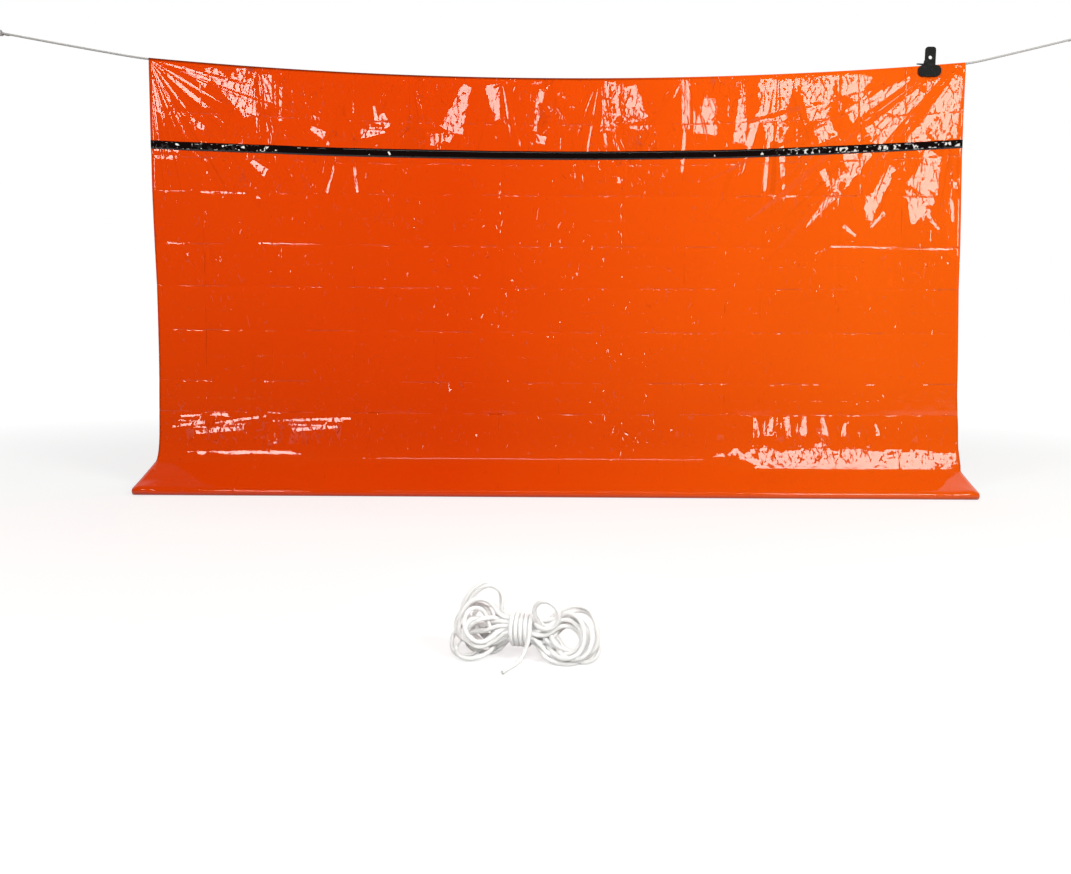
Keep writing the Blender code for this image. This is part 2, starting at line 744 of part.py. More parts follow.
def make_clip_rear():
    face = jaw_face()
    pin = pin_centre()
    corner_drop = face * math.tan((math.pi / 2 - REAR_LEVER_SLOPE) / 2)
    top = PIN_ABOVE_LINE - corner_drop
    right = jaw_side() + [(LEVER_WIDTH / 2, top)]
    to_line = Matrix.Translation((0, 0, -PIN_ABOVE_LINE))
    upright = Matrix.Rotation(math.pi / 2, 4, "X")
    frame = Matrix.Translation(pin + Vector((0, face + CLIP_THICKNESS / 2, 0))) @ to_line @ upright
    jaw = plate("clip_rear", [mirrored(right)], CLIP_THICKNESS, CLIP_REAR_BLACK, frame, CLIP_EDGE_ROUND)
    length = REAR_LEVER_LENGTH
    tip = rounded_tip(length)
    lever_outline = mirrored([(LEVER_WIDTH / 2, 0.0)] + tip)
    hole = circle((0.0, length - REAR_HOLE_FROM_TIP), LEVER_HOLE_RADIUS, HOLE_STEPS)
    below_pin = Matrix.Translation((0, corner_drop, -face - CLIP_THICKNESS / 2))
    sloped = Matrix.Rotation(REAR_LEVER_SLOPE, 4, "X") @ below_pin
    lever = plate(
        "clip_rear_lever",
        [lever_outline, hole],
        CLIP_THICKNESS,
        CLIP_REAR_BLACK,
        Matrix.Translation(pin) @ sloped,
        CLIP_EDGE_ROUND,
    )
    union(jaw, lever)
    across = REAR_EAR_INNER_FACE + EAR_THICKNESS / 2
    reach = math.hypot(face, corner_drop) + EAR_ROOT
    for side, word in ((-1, "left"), (1, "right")):
        tab = ear("clip_rear_ear_" + word, side * across, EAR_TAB_SLOPE, reach, CLIP_REAR_BLACK)
        union(jaw, tab)


def make_clip_pin():
    half = front_ear_middle() + EAR_THICKNESS / 2 + TOUCH_GAP
    outer = half + PIN_HEAD_THICKNESS
    profile = [
        (-outer, 0.0),
        (-outer, PIN_HEAD_RADIUS * 0.8),
        (-outer + PIN_HEAD_THICKNESS * 0.3, PIN_HEAD_RADIUS),
        (-half, PIN_HEAD_RADIUS),
        (-half, PIN_RADIUS),
        (half, PIN_RADIUS),
        (half, PIN_HEAD_RADIUS),
        (outer - PIN_HEAD_THICKNESS * 0.3, PIN_HEAD_RADIUS),
        (outer, PIN_HEAD_RADIUS * 0.8),
        (outer, 0.0),
    ]
    pin = turned("clip_pin", profile, PIN_STEEL, 16)
    pin.location = pin_centre()


def make_clip_spring():
    """A torsion spring round the pin, one leg up the front lever and one along the rear lever."""
    radius = jaw_face() - TOUCH_GAP - SPRING_WIRE / 2
    sweep = 2 * math.pi * SPRING_TURNS + math.pi - (math.pi / 2 - REAR_LEVER_SLOPE)
    count = round(sweep / (2 * math.pi) * SPRING_STEPS)
    width = SPRING_PITCH * sweep / (2 * math.pi)
    coil = []
    for index in range(count + 1):
        angle = math.pi + sweep * index / count
        across = -width / 2 + width * index / count
        coil.append(Vector((across, radius * math.cos(angle), radius * math.sin(angle))))
    front_tip = coil[0] + Vector((0, 0, SPRING_LEG_LENGTH))
    rear_way = Vector((0, math.cos(REAR_LEVER_SLOPE), math.sin(REAR_LEVER_SLOPE)))
    rear_tip = coil[-1] + SPRING_LEG_LENGTH * rear_way
    points = [front_tip] + coil + [rear_tip]
    gap, length = least_gap(points, None, SPRING_WIRE, 4 * SPRING_WIRE)
    print(f"clip_spring: least gap {gap * 1000:.2f} mm, length {length * 1000:.0f} mm")
    spring = tube("clip_spring", points, SPRING_WIRE, SPRING_STEEL, 1)
    spring.location = pin_centre()


make_film()
make_ridge_line()
make_clip_front()
make_clip_rear()
make_clip_pin()
make_clip_spring()
make_hank()
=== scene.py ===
"""Looks of the emergency shelter: film tube, black band, ridge line, clip and the hank of spare cord."""

import math

import bmesh
import bpy
import numpy as np
from mathutils import Matrix, Vector, noise


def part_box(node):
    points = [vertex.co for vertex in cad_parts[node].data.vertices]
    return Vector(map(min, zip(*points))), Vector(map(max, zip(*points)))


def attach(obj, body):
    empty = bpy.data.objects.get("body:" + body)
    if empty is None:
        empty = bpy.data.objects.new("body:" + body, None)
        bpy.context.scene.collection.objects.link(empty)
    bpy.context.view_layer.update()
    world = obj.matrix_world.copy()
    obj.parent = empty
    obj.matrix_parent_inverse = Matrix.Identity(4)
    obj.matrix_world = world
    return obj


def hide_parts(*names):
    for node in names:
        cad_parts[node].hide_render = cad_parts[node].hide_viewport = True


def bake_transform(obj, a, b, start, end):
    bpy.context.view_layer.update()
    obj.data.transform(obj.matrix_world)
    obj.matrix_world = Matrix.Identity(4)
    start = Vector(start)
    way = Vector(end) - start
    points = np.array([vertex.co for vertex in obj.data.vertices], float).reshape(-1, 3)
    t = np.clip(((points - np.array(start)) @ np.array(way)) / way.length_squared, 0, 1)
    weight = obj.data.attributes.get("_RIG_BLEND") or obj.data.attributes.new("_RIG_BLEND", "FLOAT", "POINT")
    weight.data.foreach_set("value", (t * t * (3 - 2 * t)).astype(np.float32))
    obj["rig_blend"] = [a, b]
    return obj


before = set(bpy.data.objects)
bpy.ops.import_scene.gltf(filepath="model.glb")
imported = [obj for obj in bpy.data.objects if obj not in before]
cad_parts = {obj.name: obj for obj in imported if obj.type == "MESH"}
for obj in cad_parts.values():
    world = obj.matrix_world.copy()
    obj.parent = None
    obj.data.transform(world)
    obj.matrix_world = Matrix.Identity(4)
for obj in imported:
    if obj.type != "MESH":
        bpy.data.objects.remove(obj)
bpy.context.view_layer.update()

# The offsets that noise_vector adds come from this seed, and from the clock without it
noise.seed_set(3)

# Sizes read from the frame
LINE_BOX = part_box("ridge_line")
CORD_RADIUS = (LINE_BOX[1].y - LINE_BOX[0].y) / 2
CORD_DIAMETER = 2 * CORD_RADIUS
LINE_HEIGHT = LINE_BOX[0].z + CORD_RADIUS
RIDGE_SAG = LINE_BOX[1].z - LINE_BOX[0].z - CORD_DIAMETER
HALF_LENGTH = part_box("floor_sheet")[1].x
TOE_HALF_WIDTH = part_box("back_wall")[1].y
PIN_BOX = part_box("clip_pin")
PIN_CENTRE = (PIN_BOX[0] + PIN_BOX[1]) / 2
JAW_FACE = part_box("clip_rear")[0].y

# Camera, fitted to the outline of the film in the photograph
CAMERA_PLACE = (-0.058, -2.5, 0.40)
CAMERA_PITCH = math.radians(-5.6)
CAMERA_ROLL = math.radians(0.33)
PHOTO_WIDTH = 1071
FOCAL_PIXELS = 803

# Cords: the gap where two pieces meet, the sides of their tubes, and the knitted surface
TOUCH_GAP = 0.0003
LINE_SIDES = 14
CORD_SIDES = 12
STITCH_COLUMNS = 7
STITCH_LENGTH = 0.0026
STITCH_DEPTH = 0.00055

# Ridge line with the knot and the eye at each end
HELD_POINTS = 81
LINE_STEP = 0.018
KNOT_STEP = 0.0016
KNOT_LENGTH = 0.019
EYE_LENGTH = 0.062
EYE_WIDTH = 0.032
EYE_SPREAD = 0.0075
EYE_SWELL = 2.3
# Its free stretches: distance beyond the film's end, and rise above the line's height there
LINE_ROUTES = {
    "left": ((0.0, 0.0), (0.05, 0.0065), (0.14, 0.0210), (0.24, 0.0378), (0.34, 0.0550), (0.435, 0.0718)),
    "right": ((0.0, 0.0), (0.04, 0.0070), (0.11, 0.0230), (0.18, 0.0395), (0.25, 0.0562), (0.325, 0.0745)),
}

# Hank of spare cord
HANK_PLACE = (-0.075, -1.450)
HANK_TURN = math.radians(-12)
HANK_STEP = 0.005
SETTLE_ROUNDS = 420
SETTLE_FALL = 0.00003
SMOOTHING_ROUNDS = 3
STRAND_SPACING = 1.07 * CORD_DIAMETER
BEND_RADIUS = 0.022
LOWEST = CORD_RADIUS + 0.0001
WAIST_HALF = 0.017
WAIST_RADIUS = 0.0135
WAIST_MOUTH = 0.010
WAIST_MOUTH_END = 0.024
WAIST_HEIGHT = 0.037
STRAND_TURN = 2.39996
WRAP_TURNS = 4.7
WRAP_PITCH = 0.0064
WRAP_RADIUS = WAIST_RADIUS + 1.05 * CORD_DIAMETER
# The loops on the left, thrown one over another: turn, rise and roll in degrees, length and width
LEFT_LOOPS = (
    (-24, -14, 20, 0.074, 0.056),
    (-6, -8, 34, 0.082, 0.062),
    (16, 2, 24, 0.066, 0.060),
    (-34, 4, 48, 0.060, 0.052),
    (8, 16, 66, 0.080, 0.058),
    (-14, 24, 84, 0.070, 0.056),
    (28, 22, 40, 0.064, 0.050),
    (-4, 40, 78, 0.078, 0.066),
    (-30, 30, 60, 0.068, 0.050),
    (12, 34, 96, 0.074, 0.060),
    (-20, 6, 104, 0.056, 0.050),
    (2, 52, 86, 0.082, 0.058),
)
# Those on the right are laid one in another: length and width of the inmost and what each next one adds. The
# last one stands on top
RIGHT_LENGTH = (0.062, 0.0024)
RIGHT_WIDTH = (0.050, 0.0024)
RIGHT_RISE = 4.0
RIGHT_ROLL = 58.0
RIGHT_STACK = 0.004
TOP_LOOP = (6, 66, 82, 0.066, 0.034)
# The tail from the last turn: along the hank, forward and down
TAIL_ROUTE = (
    (-0.002, 0.0005, 0.006),
    (-0.005, 0.003, 0.014),
    (-0.009, 0.008, 0.023),
    (-0.013, 0.016, 0.030),
    (-0.018, 0.027, 0.0335),
    (-0.022, 0.040, 0.0338),
    (-0.024, 0.050, 0.0338),
)

# Section of the film: from the line down the wall to a kink, along the flare to the roll at the toe
FILM_THICKNESS = 0.0004
RIDGE_RADIUS = 0.0038
RIDGE_ROWS = 4
WALL_CURVE = 1.3
KINK_HALF_WIDTH = 0.080
KINK_HEIGHT = 0.100
KINK_ROUND = 0.030
KINK_START_SHARE = 0.93
TOE_ROLL_RADIUS = 0.011
TOE_RADIUS = TOE_ROLL_RADIUS - FILM_THICKNESS / 2
TOE_CENTRE = (TOE_HALF_WIDTH - TOE_ROLL_RADIUS, TOE_ROLL_RADIUS)

# Steps of the two sheets' grids, and the lengths that turn them into shares of the flare
FRONT_STEP = 0.0098
FRONT_FLOOR_STEP = 0.045
BACK_STEP = 0.022
BACK_FLOOR_STEP = 0.040
BACK_CREASE_WIDENING = 1.6
FLARE_ROW_LENGTH = 0.13
FLARE_CREASE_LENGTH = 0.16

# Band: its place on the front, how it falls away towards both ends, and its own thickness
BAND_DROP = 0.2125
BAND_WIDTH = 0.025
BAND_MIDDLE = BAND_DROP + BAND_WIDTH / 2
BAND_LEFT_FALL = 0.026
BAND_RIGHT_FALL = 0.010
LEVEL_REACH = 0.11
BAND_LIFT = 0.0005
BAND_THICKNESS = 0.0003

# How far the film is drawn in along the ridge at its left edge, and out at its right edge below the wall
EDGE_PULL = 0.021
EDGE_SPREAD = 0.008
EDGE_REACH = 0.22

# On the right the front wall has a flat strip above a lower kink: its heights, slope, lowest point, fade and
# place
STRIP_LOW = 0.068
STRIP_HIGH = 0.136
STRIP_SLOPE = 0.36
STRIP_OUT = 0.098
STRIP_FADE_HEIGHT = 0.42
STRIP_START = (0.46, 0.64)

# The lumps where the roll at the toe ends at the front corners
LUMP_RISE = 0.006
LUMP_FROM_END = 0.026
LUMP_HALF_LENGTH = 0.024

# Package creases of the film: distances below the ridge, places along it, and their shape
HORIZONTAL_CREASES = (0.135, 0.255, 0.345, 0.498, 0.624, 0.756, 0.910, 1.004)
VERTICAL_CREASES = (
    -1.066, -0.928, -0.858, -0.608, -0.367, -0.169, 0.011, 0.197, 0.389, 0.514, 0.620, 0.849, 1.044)
FLARE_CREASE_SHARE = 0.50
CREASE_HALF_WIDTH = 0.0045
CREASE_DEPTH = 0.0008
FAR_FROM_CREASE = 0.03
PANEL_RISE = 0.0026
FILM_END = 1.45

# Folds and crumples of the sheet itself
HANG_DEPTH = 0.0022
HANG_REACH = 0.30
CRUMPLE_SIZES = ((0.105, 0.03), (0.050, 0.03))
CRUMPLE_WANDER = 0.022
LEAST_CRUMPLED = 0.05
PLAIN_CRUMPLED = 0.15
FLOOR_CRUMPLED = 0.2
CLIP_PLACE = (PIN_CENTRE.x, 0.015)
CLIP_FLAT = 0.050

# Cones of folds that spread from a pulled point: its place along the ridge, its distance below it, the first
# and the last angle (0 is towards +X, 90 is down), the number of folds, their steepness, and their reach
FRONT_CONES = (
    (-1.225, -0.004, 7, 86, 11, 0.15, 0.34),
    (1.225, -0.004, 96, 158, 8, 0.14, 0.36),
    (1.112, 0.020, 108, 172, 9, 0.16, 0.44),
    (-0.62, -0.01, 62, 122, 5, 0.13, 0.13),
    (-0.17, -0.02, 72, 104, 4, 0.13, 0.20),
    (0.29, -0.01, 60, 115, 4, 0.14, 0.16),
    (0.50, -0.01, 64, 122, 5, 0.12, 0.22),
    (0.72, -0.01, 58, 124, 6, 0.09, 0.26),
    (0.92, -0.01, 66, 128, 5, 0.09, 0.24),
)
BACK_CONES = (
    (-1.225, -0.004, 8, 84, 9, 0.15, 0.36),
    (1.225, -0.004, 96, 172, 9, 0.15, 0.36),
    (-0.70, -0.01, 60, 120, 5, 0.13, 0.20),
    (-0.22, -0.01, 64, 124, 5, 0.13, 0.18),
    (0.30, -0.01, 60, 118, 4, 0.13, 0.20),
    (0.78, -0.01, 64, 122, 5, 0.13, 0.22),
)
# Streaks between them, on the front sheet alone: place, distance below the ridge, first and last angle,
# streaks per radian, reach
FINE_CONES = (
    (-1.222, -0.002, 3, 88, 9, 0.40),
    (1.222, -0.002, 92, 150, 6, 0.44),
    (1.112, 0.020, 104, 176, 6, 0.60),
    (-0.90, -0.02, 40, 120, 5, 0.26),
    (-0.44, -0.02, 50, 125, 5, 0.16),
    (-0.17, -0.03, 60, 115, 5, 0.26),
    (0.13, -0.02, 60, 125, 5, 0.26),
    (0.40, -0.04, 50, 130, 4.5, 0.34),
    (0.66, -0.05, 50, 130, 4, 0.40),
    (0.90, -0.06, 60, 130, 4, 0.42),
)
FOLD_LAYERS = ("folds_a", "folds_b", "folds_c")
STREAKS_OVER_FACETS = 0.75
LEAST_STREAK = 0.07
MORE_STREAK = 0.60
STREAKED_SHARE = 0.42
STREAK_POINT = 0.30
STREAK_HALF_WIDTH = 0.6

# Flat places of the front sheet that catch the light, each from one end to the other: place along the ridge,
# distance below it and width at both ends
FLAT_PLACES = (
    (-1.222, 0.010, 0.006, -1.200, 0.140, 0.040),
    (-1.118, 0.011, 0.009, -1.047, 0.054, 0.028),
    (-0.918, 0.013, 0.080, -0.914, 0.136, 0.056),
    (-1.046, 0.009, 0.018, -0.940, 0.092, 0.068),
    (-1.100, 0.153, 0.018, -1.059, 0.173, 0.015),
    (-1.219, 0.248, 0.024, -1.138, 0.250, 0.028),
    (-0.916, 0.260, 0.012, -0.874, 0.290, 0.024),
    (-0.858, 0.004, 0.009, -0.858, 0.100, 0.009),
    (-0.826, 0.040, 0.009, -0.829, 0.144, 0.008),
    (-0.737, 0.160, 0.012, -0.696, 0.180, 0.022),
    (-0.587, 0.172, 0.028, -0.515, 0.164, 0.006),
    (-0.548, 0.090, 0.006, -0.539, 0.141, 0.012),
    (-0.521, 0.112, 0.009, -0.506, 0.149, 0.019),
    (-0.609, 0.256, 0.007, -0.600, 0.341, 0.009),
    (-0.663, 0.243, 0.007, -0.691, 0.342, 0.006),
    (-0.269, 0.024, 0.025, -0.317, 0.156, 0.068),
    (-0.320, 0.165, 0.025, -0.329, 0.189, 0.015),
    (-0.365, 0.166, 0.025, -0.368, 0.200, 0.022),
    (-0.194, 0.020, 0.044, -0.179, 0.122, 0.016),
    (-0.048, 0.032, 0.022, -0.065, 0.153, 0.009),
    (-0.044, 0.167, 0.031, -0.047, 0.190, 0.025),
    (0.147, 0.004, 0.006, 0.148, 0.093, 0.019),
    (0.148, 0.102, 0.016, 0.157, 0.149, 0.059),
    (0.168, 0.009, 0.016, 0.187, 0.108, 0.012),
    (0.219, 0.021, 0.037, 0.241, 0.120, 0.062),
    (0.220, 0.141, 0.009, 0.275, 0.144, 0.016),
    (0.377, 0.004, 0.007, 0.381, 0.146, 0.008),
    (0.394, 0.006, 0.009, 0.395, 0.146, 0.009),
    (0.459, 0.060, 0.031, 0.446, 0.164, 0.074),
    (0.557, 0.010, 0.009, 0.552, 0.193, 0.043),
    (0.658, 0.004, 0.103, 0.646, 0.138, 0.071),
    (0.659, 0.147, 0.081, 0.654, 0.193, 0.025),
    (0.778, 0.010, 0.115, 0.781, 0.137, 0.050),
    (0.796, 0.144, 0.050, 0.816, 0.194, 0.056),
    (0.897, 0.008, 0.093, 0.881, 0.076, 0.056),
    (1.056, 0.029, 0.012, 0.874, 0.130, 0.043),
    (1.113, 0.044, 0.009, 0.935, 0.182, 0.037),
    (1.145, 0.035, 0.006, 0.858, 0.312, 0.034),
    (0.858, 0.312, 0.034, 0.754, 0.435, 0.003),
    (1.193, 0.033, 0.009, 1.077, 0.235, 0.074),
    (1.205, 0.034, 0.006, 1.155, 0.210, 0.025),
    (1.211, 0.040, 0.006, 1.190, 0.207, 0.019),
    (1.141, 0.248, 0.040, 1.096, 0.336, 0.102),
    (1.010, 0.273, 0.025, 0.940, 0.387, 0.034),
    (1.099, 0.345, 0.099, 1.074, 0.425, 0.012),
    (0.952, 0.345, 0.043, 0.944, 0.416, 0.018),
    (1.195, 0.254, 0.010, 1.201, 0.330, 0.014),
    (1.190, 0.350, 0.012, 1.196, 0.420, 0.008),
    (0.877, 0.234, 0.037, 0.890, 0.280, 0.028),
    (0.800, 0.278, 0.020, 0.820, 0.318, 0.012),
    (0.868, 0.432, 0.012, 0.905, 0.462, 0.008),
    (0.950, 0.436, 0.006, 0.990, 0.392, 0.012),
    (1.110, 0.362, 0.010, 1.125, 0.410, 0.014),
    (1.130, 0.415, 0.010, 1.155, 0.442, 0.008),
    (0.830, 0.494, 0.005, 1.195, 0.502, 0.006),
    (0.640, 0.344, 0.005, 0.720, 0.345, 0.005),
    (-1.195, 0.343, 0.005, -1.120, 0.344, 0.005),
    (-1.070, 0.344, 0.005, -0.930, 0.345, 0.005),
    (-0.900, 0.495, 0.005, -0.690, 0.498, 0.005),
    (-1.180, 0.496, 0.005, -1.080, 0.498, 0.004),
    (-1.180, 1.050, 0.007, -1.070, 1.035, 0.009),
    (-1.040, 1.040, 0.009, -0.880, 1.015, 0.007),
    (-1.150, 1.018, 0.006, -1.000, 1.010, 0.006),
    (-0.860, 1.030, 0.006, -0.620, 1.020, 0.007),
    (-1.100, 1.066, 0.011, -0.950, 1.052, 0.013),
    (-0.800, 1.056, 0.008, -0.660, 1.046, 0.009),
    (0.500, 1.150, 0.012, 0.560, 1.115, 0.036),
    (0.590, 1.118, 0.020, 0.640, 1.128, 0.050),
    (0.652, 1.130, 0.052, 0.700, 1.136, 0.034),
    (0.712, 1.138, 0.030, 0.760, 1.130, 0.056),
    (0.772, 1.128, 0.050, 0.835, 1.130, 0.058),
    (0.846, 1.122, 0.046, 0.866, 1.146, 0.030),
    (0.880, 1.126, 0.056, 0.960, 1.134, 0.044),
    (0.968, 1.140, 0.034, 1.010, 1.150, 0.014),
    (1.000, 1.112, 0.012, 1.050, 1.116, 0.020),
    (1.075, 1.114, 0.018, 1.140, 1.124, 0.028),
    (1.150, 1.138, 0.020, 1.215, 1.134, 0.040),
    (0.608, 1.012, 0.009, 0.614, 1.070, 0.024),
    (0.659, 1.009, 0.009, 0.654, 1.067, 0.024),
    (0.702, 1.009, 0.018, 0.714, 1.073, 0.015),
    (0.759, 1.006, 0.009, 0.754, 1.067, 0.027),
    (0.811, 1.012, 0.012, 0.824, 1.072, 0.018),
    (0.881, 1.027, 0.009, 0.875, 1.069, 0.015),
    (0.975, 1.030, 0.009, 0.981, 1.066, 0.012),
)
# How the flat places lean across and down the film: towards the left side of the room up to LEAN_CHANGE, and
# from there on towards its right side; below STRIP_TOP they lean as the flat strip does
LEAN_CHANGE = -0.45
LEAN_LEFT = -0.34
LEAN_RIGHT = 0.335
LEAN_ALONG = -0.335
LEAN_DOWN = (-0.045, 0.29)
STRIP_TOP = 1.09
STRIP_LEAN = 0.05
# The film between them is turned the other way near both ends: how much, from where to where, down to where
AWAY = ((-0.20, 0.50, 0.75, 0.95), (-0.10, 0.95, 1.12, 0.95), (0.16, -0.62, -0.78, 0.75))
AWAY_FADE = 0.20
# How ragged their sides and ends are
FLAT_RAGGED = 0.9
FLAT_RAGGED_ENDS = 0.012

# Narrow wedges that spread from the left corner: a fifth of their number per radian, because a Voronoi
# texture has five cells in each unit, how far they reach, and their half width
WEDGE_DENSITY = 1.3
WEDGE_REACH = (0.15, 0.31)
WEDGE_HALF_WIDTH = 0.20

# Sharp package creases as the light shows them
CREASE_LINE_WIDTH = 0.0026
CREASE_STEEPNESS = 0.60
CREASE_WOBBLE = 0.003

# Facets: cells per metre, steepness, stretch along the film, turn, how much of the crumpled film has them
FACETS = (
    (11.0, 0.12, 0.45, 0.20, 0.14),
    (30.0, 0.16, 0.40, 0.40, 0.22),
    (64.0, 0.20, 0.50, -0.35, 0.20),
)
# Strokes between facets: cells per metre, steepness, stretch, turn, width
STROKES = ((38.0, 0.36, 0.40, 0.55, 0.0020), (72.0, 0.40, 0.50, -0.60, 0.0018))
# How much of the facets, strokes and streaks is left in the flat places
FACETS_IN_FLATS = 0.35
STROKES_IN_FLATS = 0.08
STREAKS_IN_FLATS = 0.35

# Spring clip
CLIP_PARTS = {"clip_front": 1.0, "clip_rear": 1.15}
SPRING_WIRE = 0.0014
SPRING_TURNS = 4
SPRING_POINTS = 112
SPRING_PITCH = 0.0020
SPRING_LEG_LENGTH = 0.022
REAR_LEVER_SLOPE = math.radians(22)


# Shared tools

def smooth_step(low, high, value):
    share = np.clip((value - low) / (high - low), 0.0, 1.0)
    return share * share * (3 - 2 * share)


def line_height(x):
    return LINE_HEIGHT + RIDGE_SAG * (x / HALF_LENGTH) ** 2


def place_mesh(name, mesh, *materials):
    item = bpy.data.objects.new(name, mesh)
    bpy.context.scene.collection.objects.link(item)
    for material in materials:
        mesh.materials.append(material)
    return item


def dress(piece, slot, *nodes):
    """The piece stands in for these nodes of the frame, which are hidden, and rides on the root. The slot is
    not used.
    """
    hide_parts(*nodes)
    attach(piece, "root")


def mesh_of(shape, name):
    mesh = bpy.data.meshes.new(name)
    shape.to_mesh(mesh)
    shape.free()
    return mesh


def rgb(red, green, blue):
    return (red, green, blue, 1.0)


class Nodes:
    """A short way to build a material's nodes."""

    def __init__(self, name, has_uv=False):
        self.material = bpy.data.materials.new(name)
        self.material.use_nodes = True
        self.tree = self.material.node_tree
        self.shader = self.tree.nodes["Principled BSDF"]
        if has_uv:
            self.uv = self.add("UVMap", uv_map="UVMap").outputs["UV"]

    def add(self, kind, inputs=None, **settings):
        node = self.tree.nodes.new("ShaderNode" + kind)
        for key, value in settings.items():
            setattr(node, key, value)
        for key, value in (inputs or {}).items():
            self.put(value, node.inputs[key])
        return node

    def put(self, value, socket):
        if isinstance(value, bpy.types.NodeSocket):
            self.tree.links.new(value, socket)
        else:
            socket.default_value = value

    def math(self, operation, first, second=0.0, third=0.0):
        return self.add("Math", {0: first, 1: second, 2: third}, operation=operation).outputs[0]

    def times(self, first, second):
        return self.math("MULTIPLY", first, second)

    def minus(self, first, second):
        return self.math("SUBTRACT", first, second)

    def less(self, first, second):
        return self.math("LESS_THAN", first, second)

    def vector(self, operation, *inputs):
        node = self.add("VectorMath", dict(enumerate(inputs)), operation=operation)
        return node.outputs["Value" if operation == "LENGTH" else "Vector"]

    def scaled(self, vector, factor):
        return self.add("VectorMath", {0: vector, "Scale": factor}, operation="SCALE").outputs["Vector"]

    def total(self, first, *others):
        for other in others:
            first = self.vector("ADD", first, other)
        return first

    def split(self, vector):
        return self.add("SeparateXYZ", {"Vector": vector}).outputs

    def join(self, x, z=0.0):
        return self.add("CombineXYZ", {"X": x, "Z": z}).outputs["Vector"]

    def attribute(self, name, output="Vector"):
        return self.add("Attribute", attribute_name=name).outputs[output]

    def span(self, value, low, high, to_low=0.0, to_high=1.0, smooth=False):
        kind = "SMOOTHSTEP" if smooth else "LINEAR"
        inputs = {"Value": value, "From Min": low, "From Max": high, "To Min": to_low, "To Max": to_high}
        return self.add("MapRange", inputs, interpolation_type=kind).outputs["Result"]

    def mix(self, share, first, second, kind="RGBA"):
        """Between two colours, or with kind FLOAT between two numbers."""
        return self.add("Mix", {"Factor": share, "A": first, "B": second}, data_type=kind).outputs["Result"]

    def noise(self, vector, scale, detail=3.0, roughness=0.5):
        inputs = {"Vector": vector, "Scale": scale, "Detail": detail, "Roughness": roughness}
        return self.add("TexNoise", inputs).outputs["Fac"]

    def bump(self, height, distance):
        return self.add("Bump", {"Height": height, "Distance": distance, "Strength": 1.0}).outputs["Normal"]

    def finish(self, **values):
        for key, value in values.items():
            self.put(value, self.shader.inputs[key.replace("_", " ")])
        return self.material


# Camera

def make_camera():
    data = bpy.data.cameras.new("photo_camera")
    data.sensor_width = 36.0
    data.lens = data.sensor_width * FOCAL_PIXELS / PHOTO_WIDTH
    camera = bpy.data.objects.new("photo_camera", data)
    bpy.context.scene.collection.objects.link(camera)
    camera.location = CAMERA_PLACE
    turn = Matrix.Rotation(math.pi / 2 + CAMERA_PITCH, 4, "X") @ Matrix.Rotation(CAMERA_ROLL, 4, "Z")
    camera.rotation_euler = turn.to_euler()
    bpy.context.scene.camera = camera


# Cords

def smooth_route(points, step):
    """Points a step apart along a smooth curve through the route's points."""
    stations = [Vector(point) for point in points]
    padded = [2 * stations[0] - stations[1]] + stations + [2 * stations[-1] - stations[-2]]
    fine = [stations[0]]
    for index in range(1, len(padded) - 2):
        before, start, end, after = padded[index - 1:index + 3]
        parts = max(1, math.ceil((end - start).length / step))
        for part in range(1, parts + 1):
            t = part / parts
            bend = (2 * before - 5 * start + 4 * end - after) * t * t
            twist = (3 * start - before - 3 * end + after) * t ** 3
            fine.append(0.5 * (2 * start + (end - before) * t + bend + twist))
    return fine


def round_tube(name, path, radius, sides, material):
    """A closed tube: a grid wrapped round the path, with UVs in metres along it and from 0 to 1 round it."""
    path = [Vector(point) for point in path]
    last = len(path) - 1
    ways = [(path[min(i + 1, last)] - path[max(i - 1, 0)]).normalized() for i in range(len(path))]
    across = ways[0].orthogonal().normalized()
    rings = []
    travelled = 0.0
    for index, (spot, way) in enumerate(zip(path, ways)):
        if index:
            across = ways[index - 1].rotation_difference(way) @ across
            across = (across - way * across.dot(way)).normalized()
            travelled += (spot - path[index - 1]).length
        rings.append((spot, across, way.cross(across), travelled))
    shape = bmesh.new()
    bmesh.ops.create_grid(shape, x_segments=last, y_segments=sides, size=0.5)
    uv = shape.loops.layers.uv.new("UVMap")
    spots = {}
    for vertex in shape.verts:
        side = round((vertex.co.y + 0.5) * sides)
        turn = 2 * math.pi * (side % sides) / sides
        middle, first, second, along = rings[round((vertex.co.x + 0.5) * last)]
        spots[vertex] = (along, side / sides)
        vertex.co = middle + radius * (math.cos(turn) * first + math.sin(turn) * second)
    for face in shape.faces:
        face.smooth = True
        for loop in face.loops:
            loop[uv].uv = spots[loop.vert]
    bmesh.ops.remove_doubles(shape, verts=shape.verts, dist=radius * 0.001)
    bmesh.ops.holes_fill(shape, edges=[edge for edge in shape.edges if edge.is_boundary], sides=0)
    bmesh.ops.recalc_face_normals(shape, faces=shape.faces)
    return place_mesh(name, mesh_of(shape, name), material)


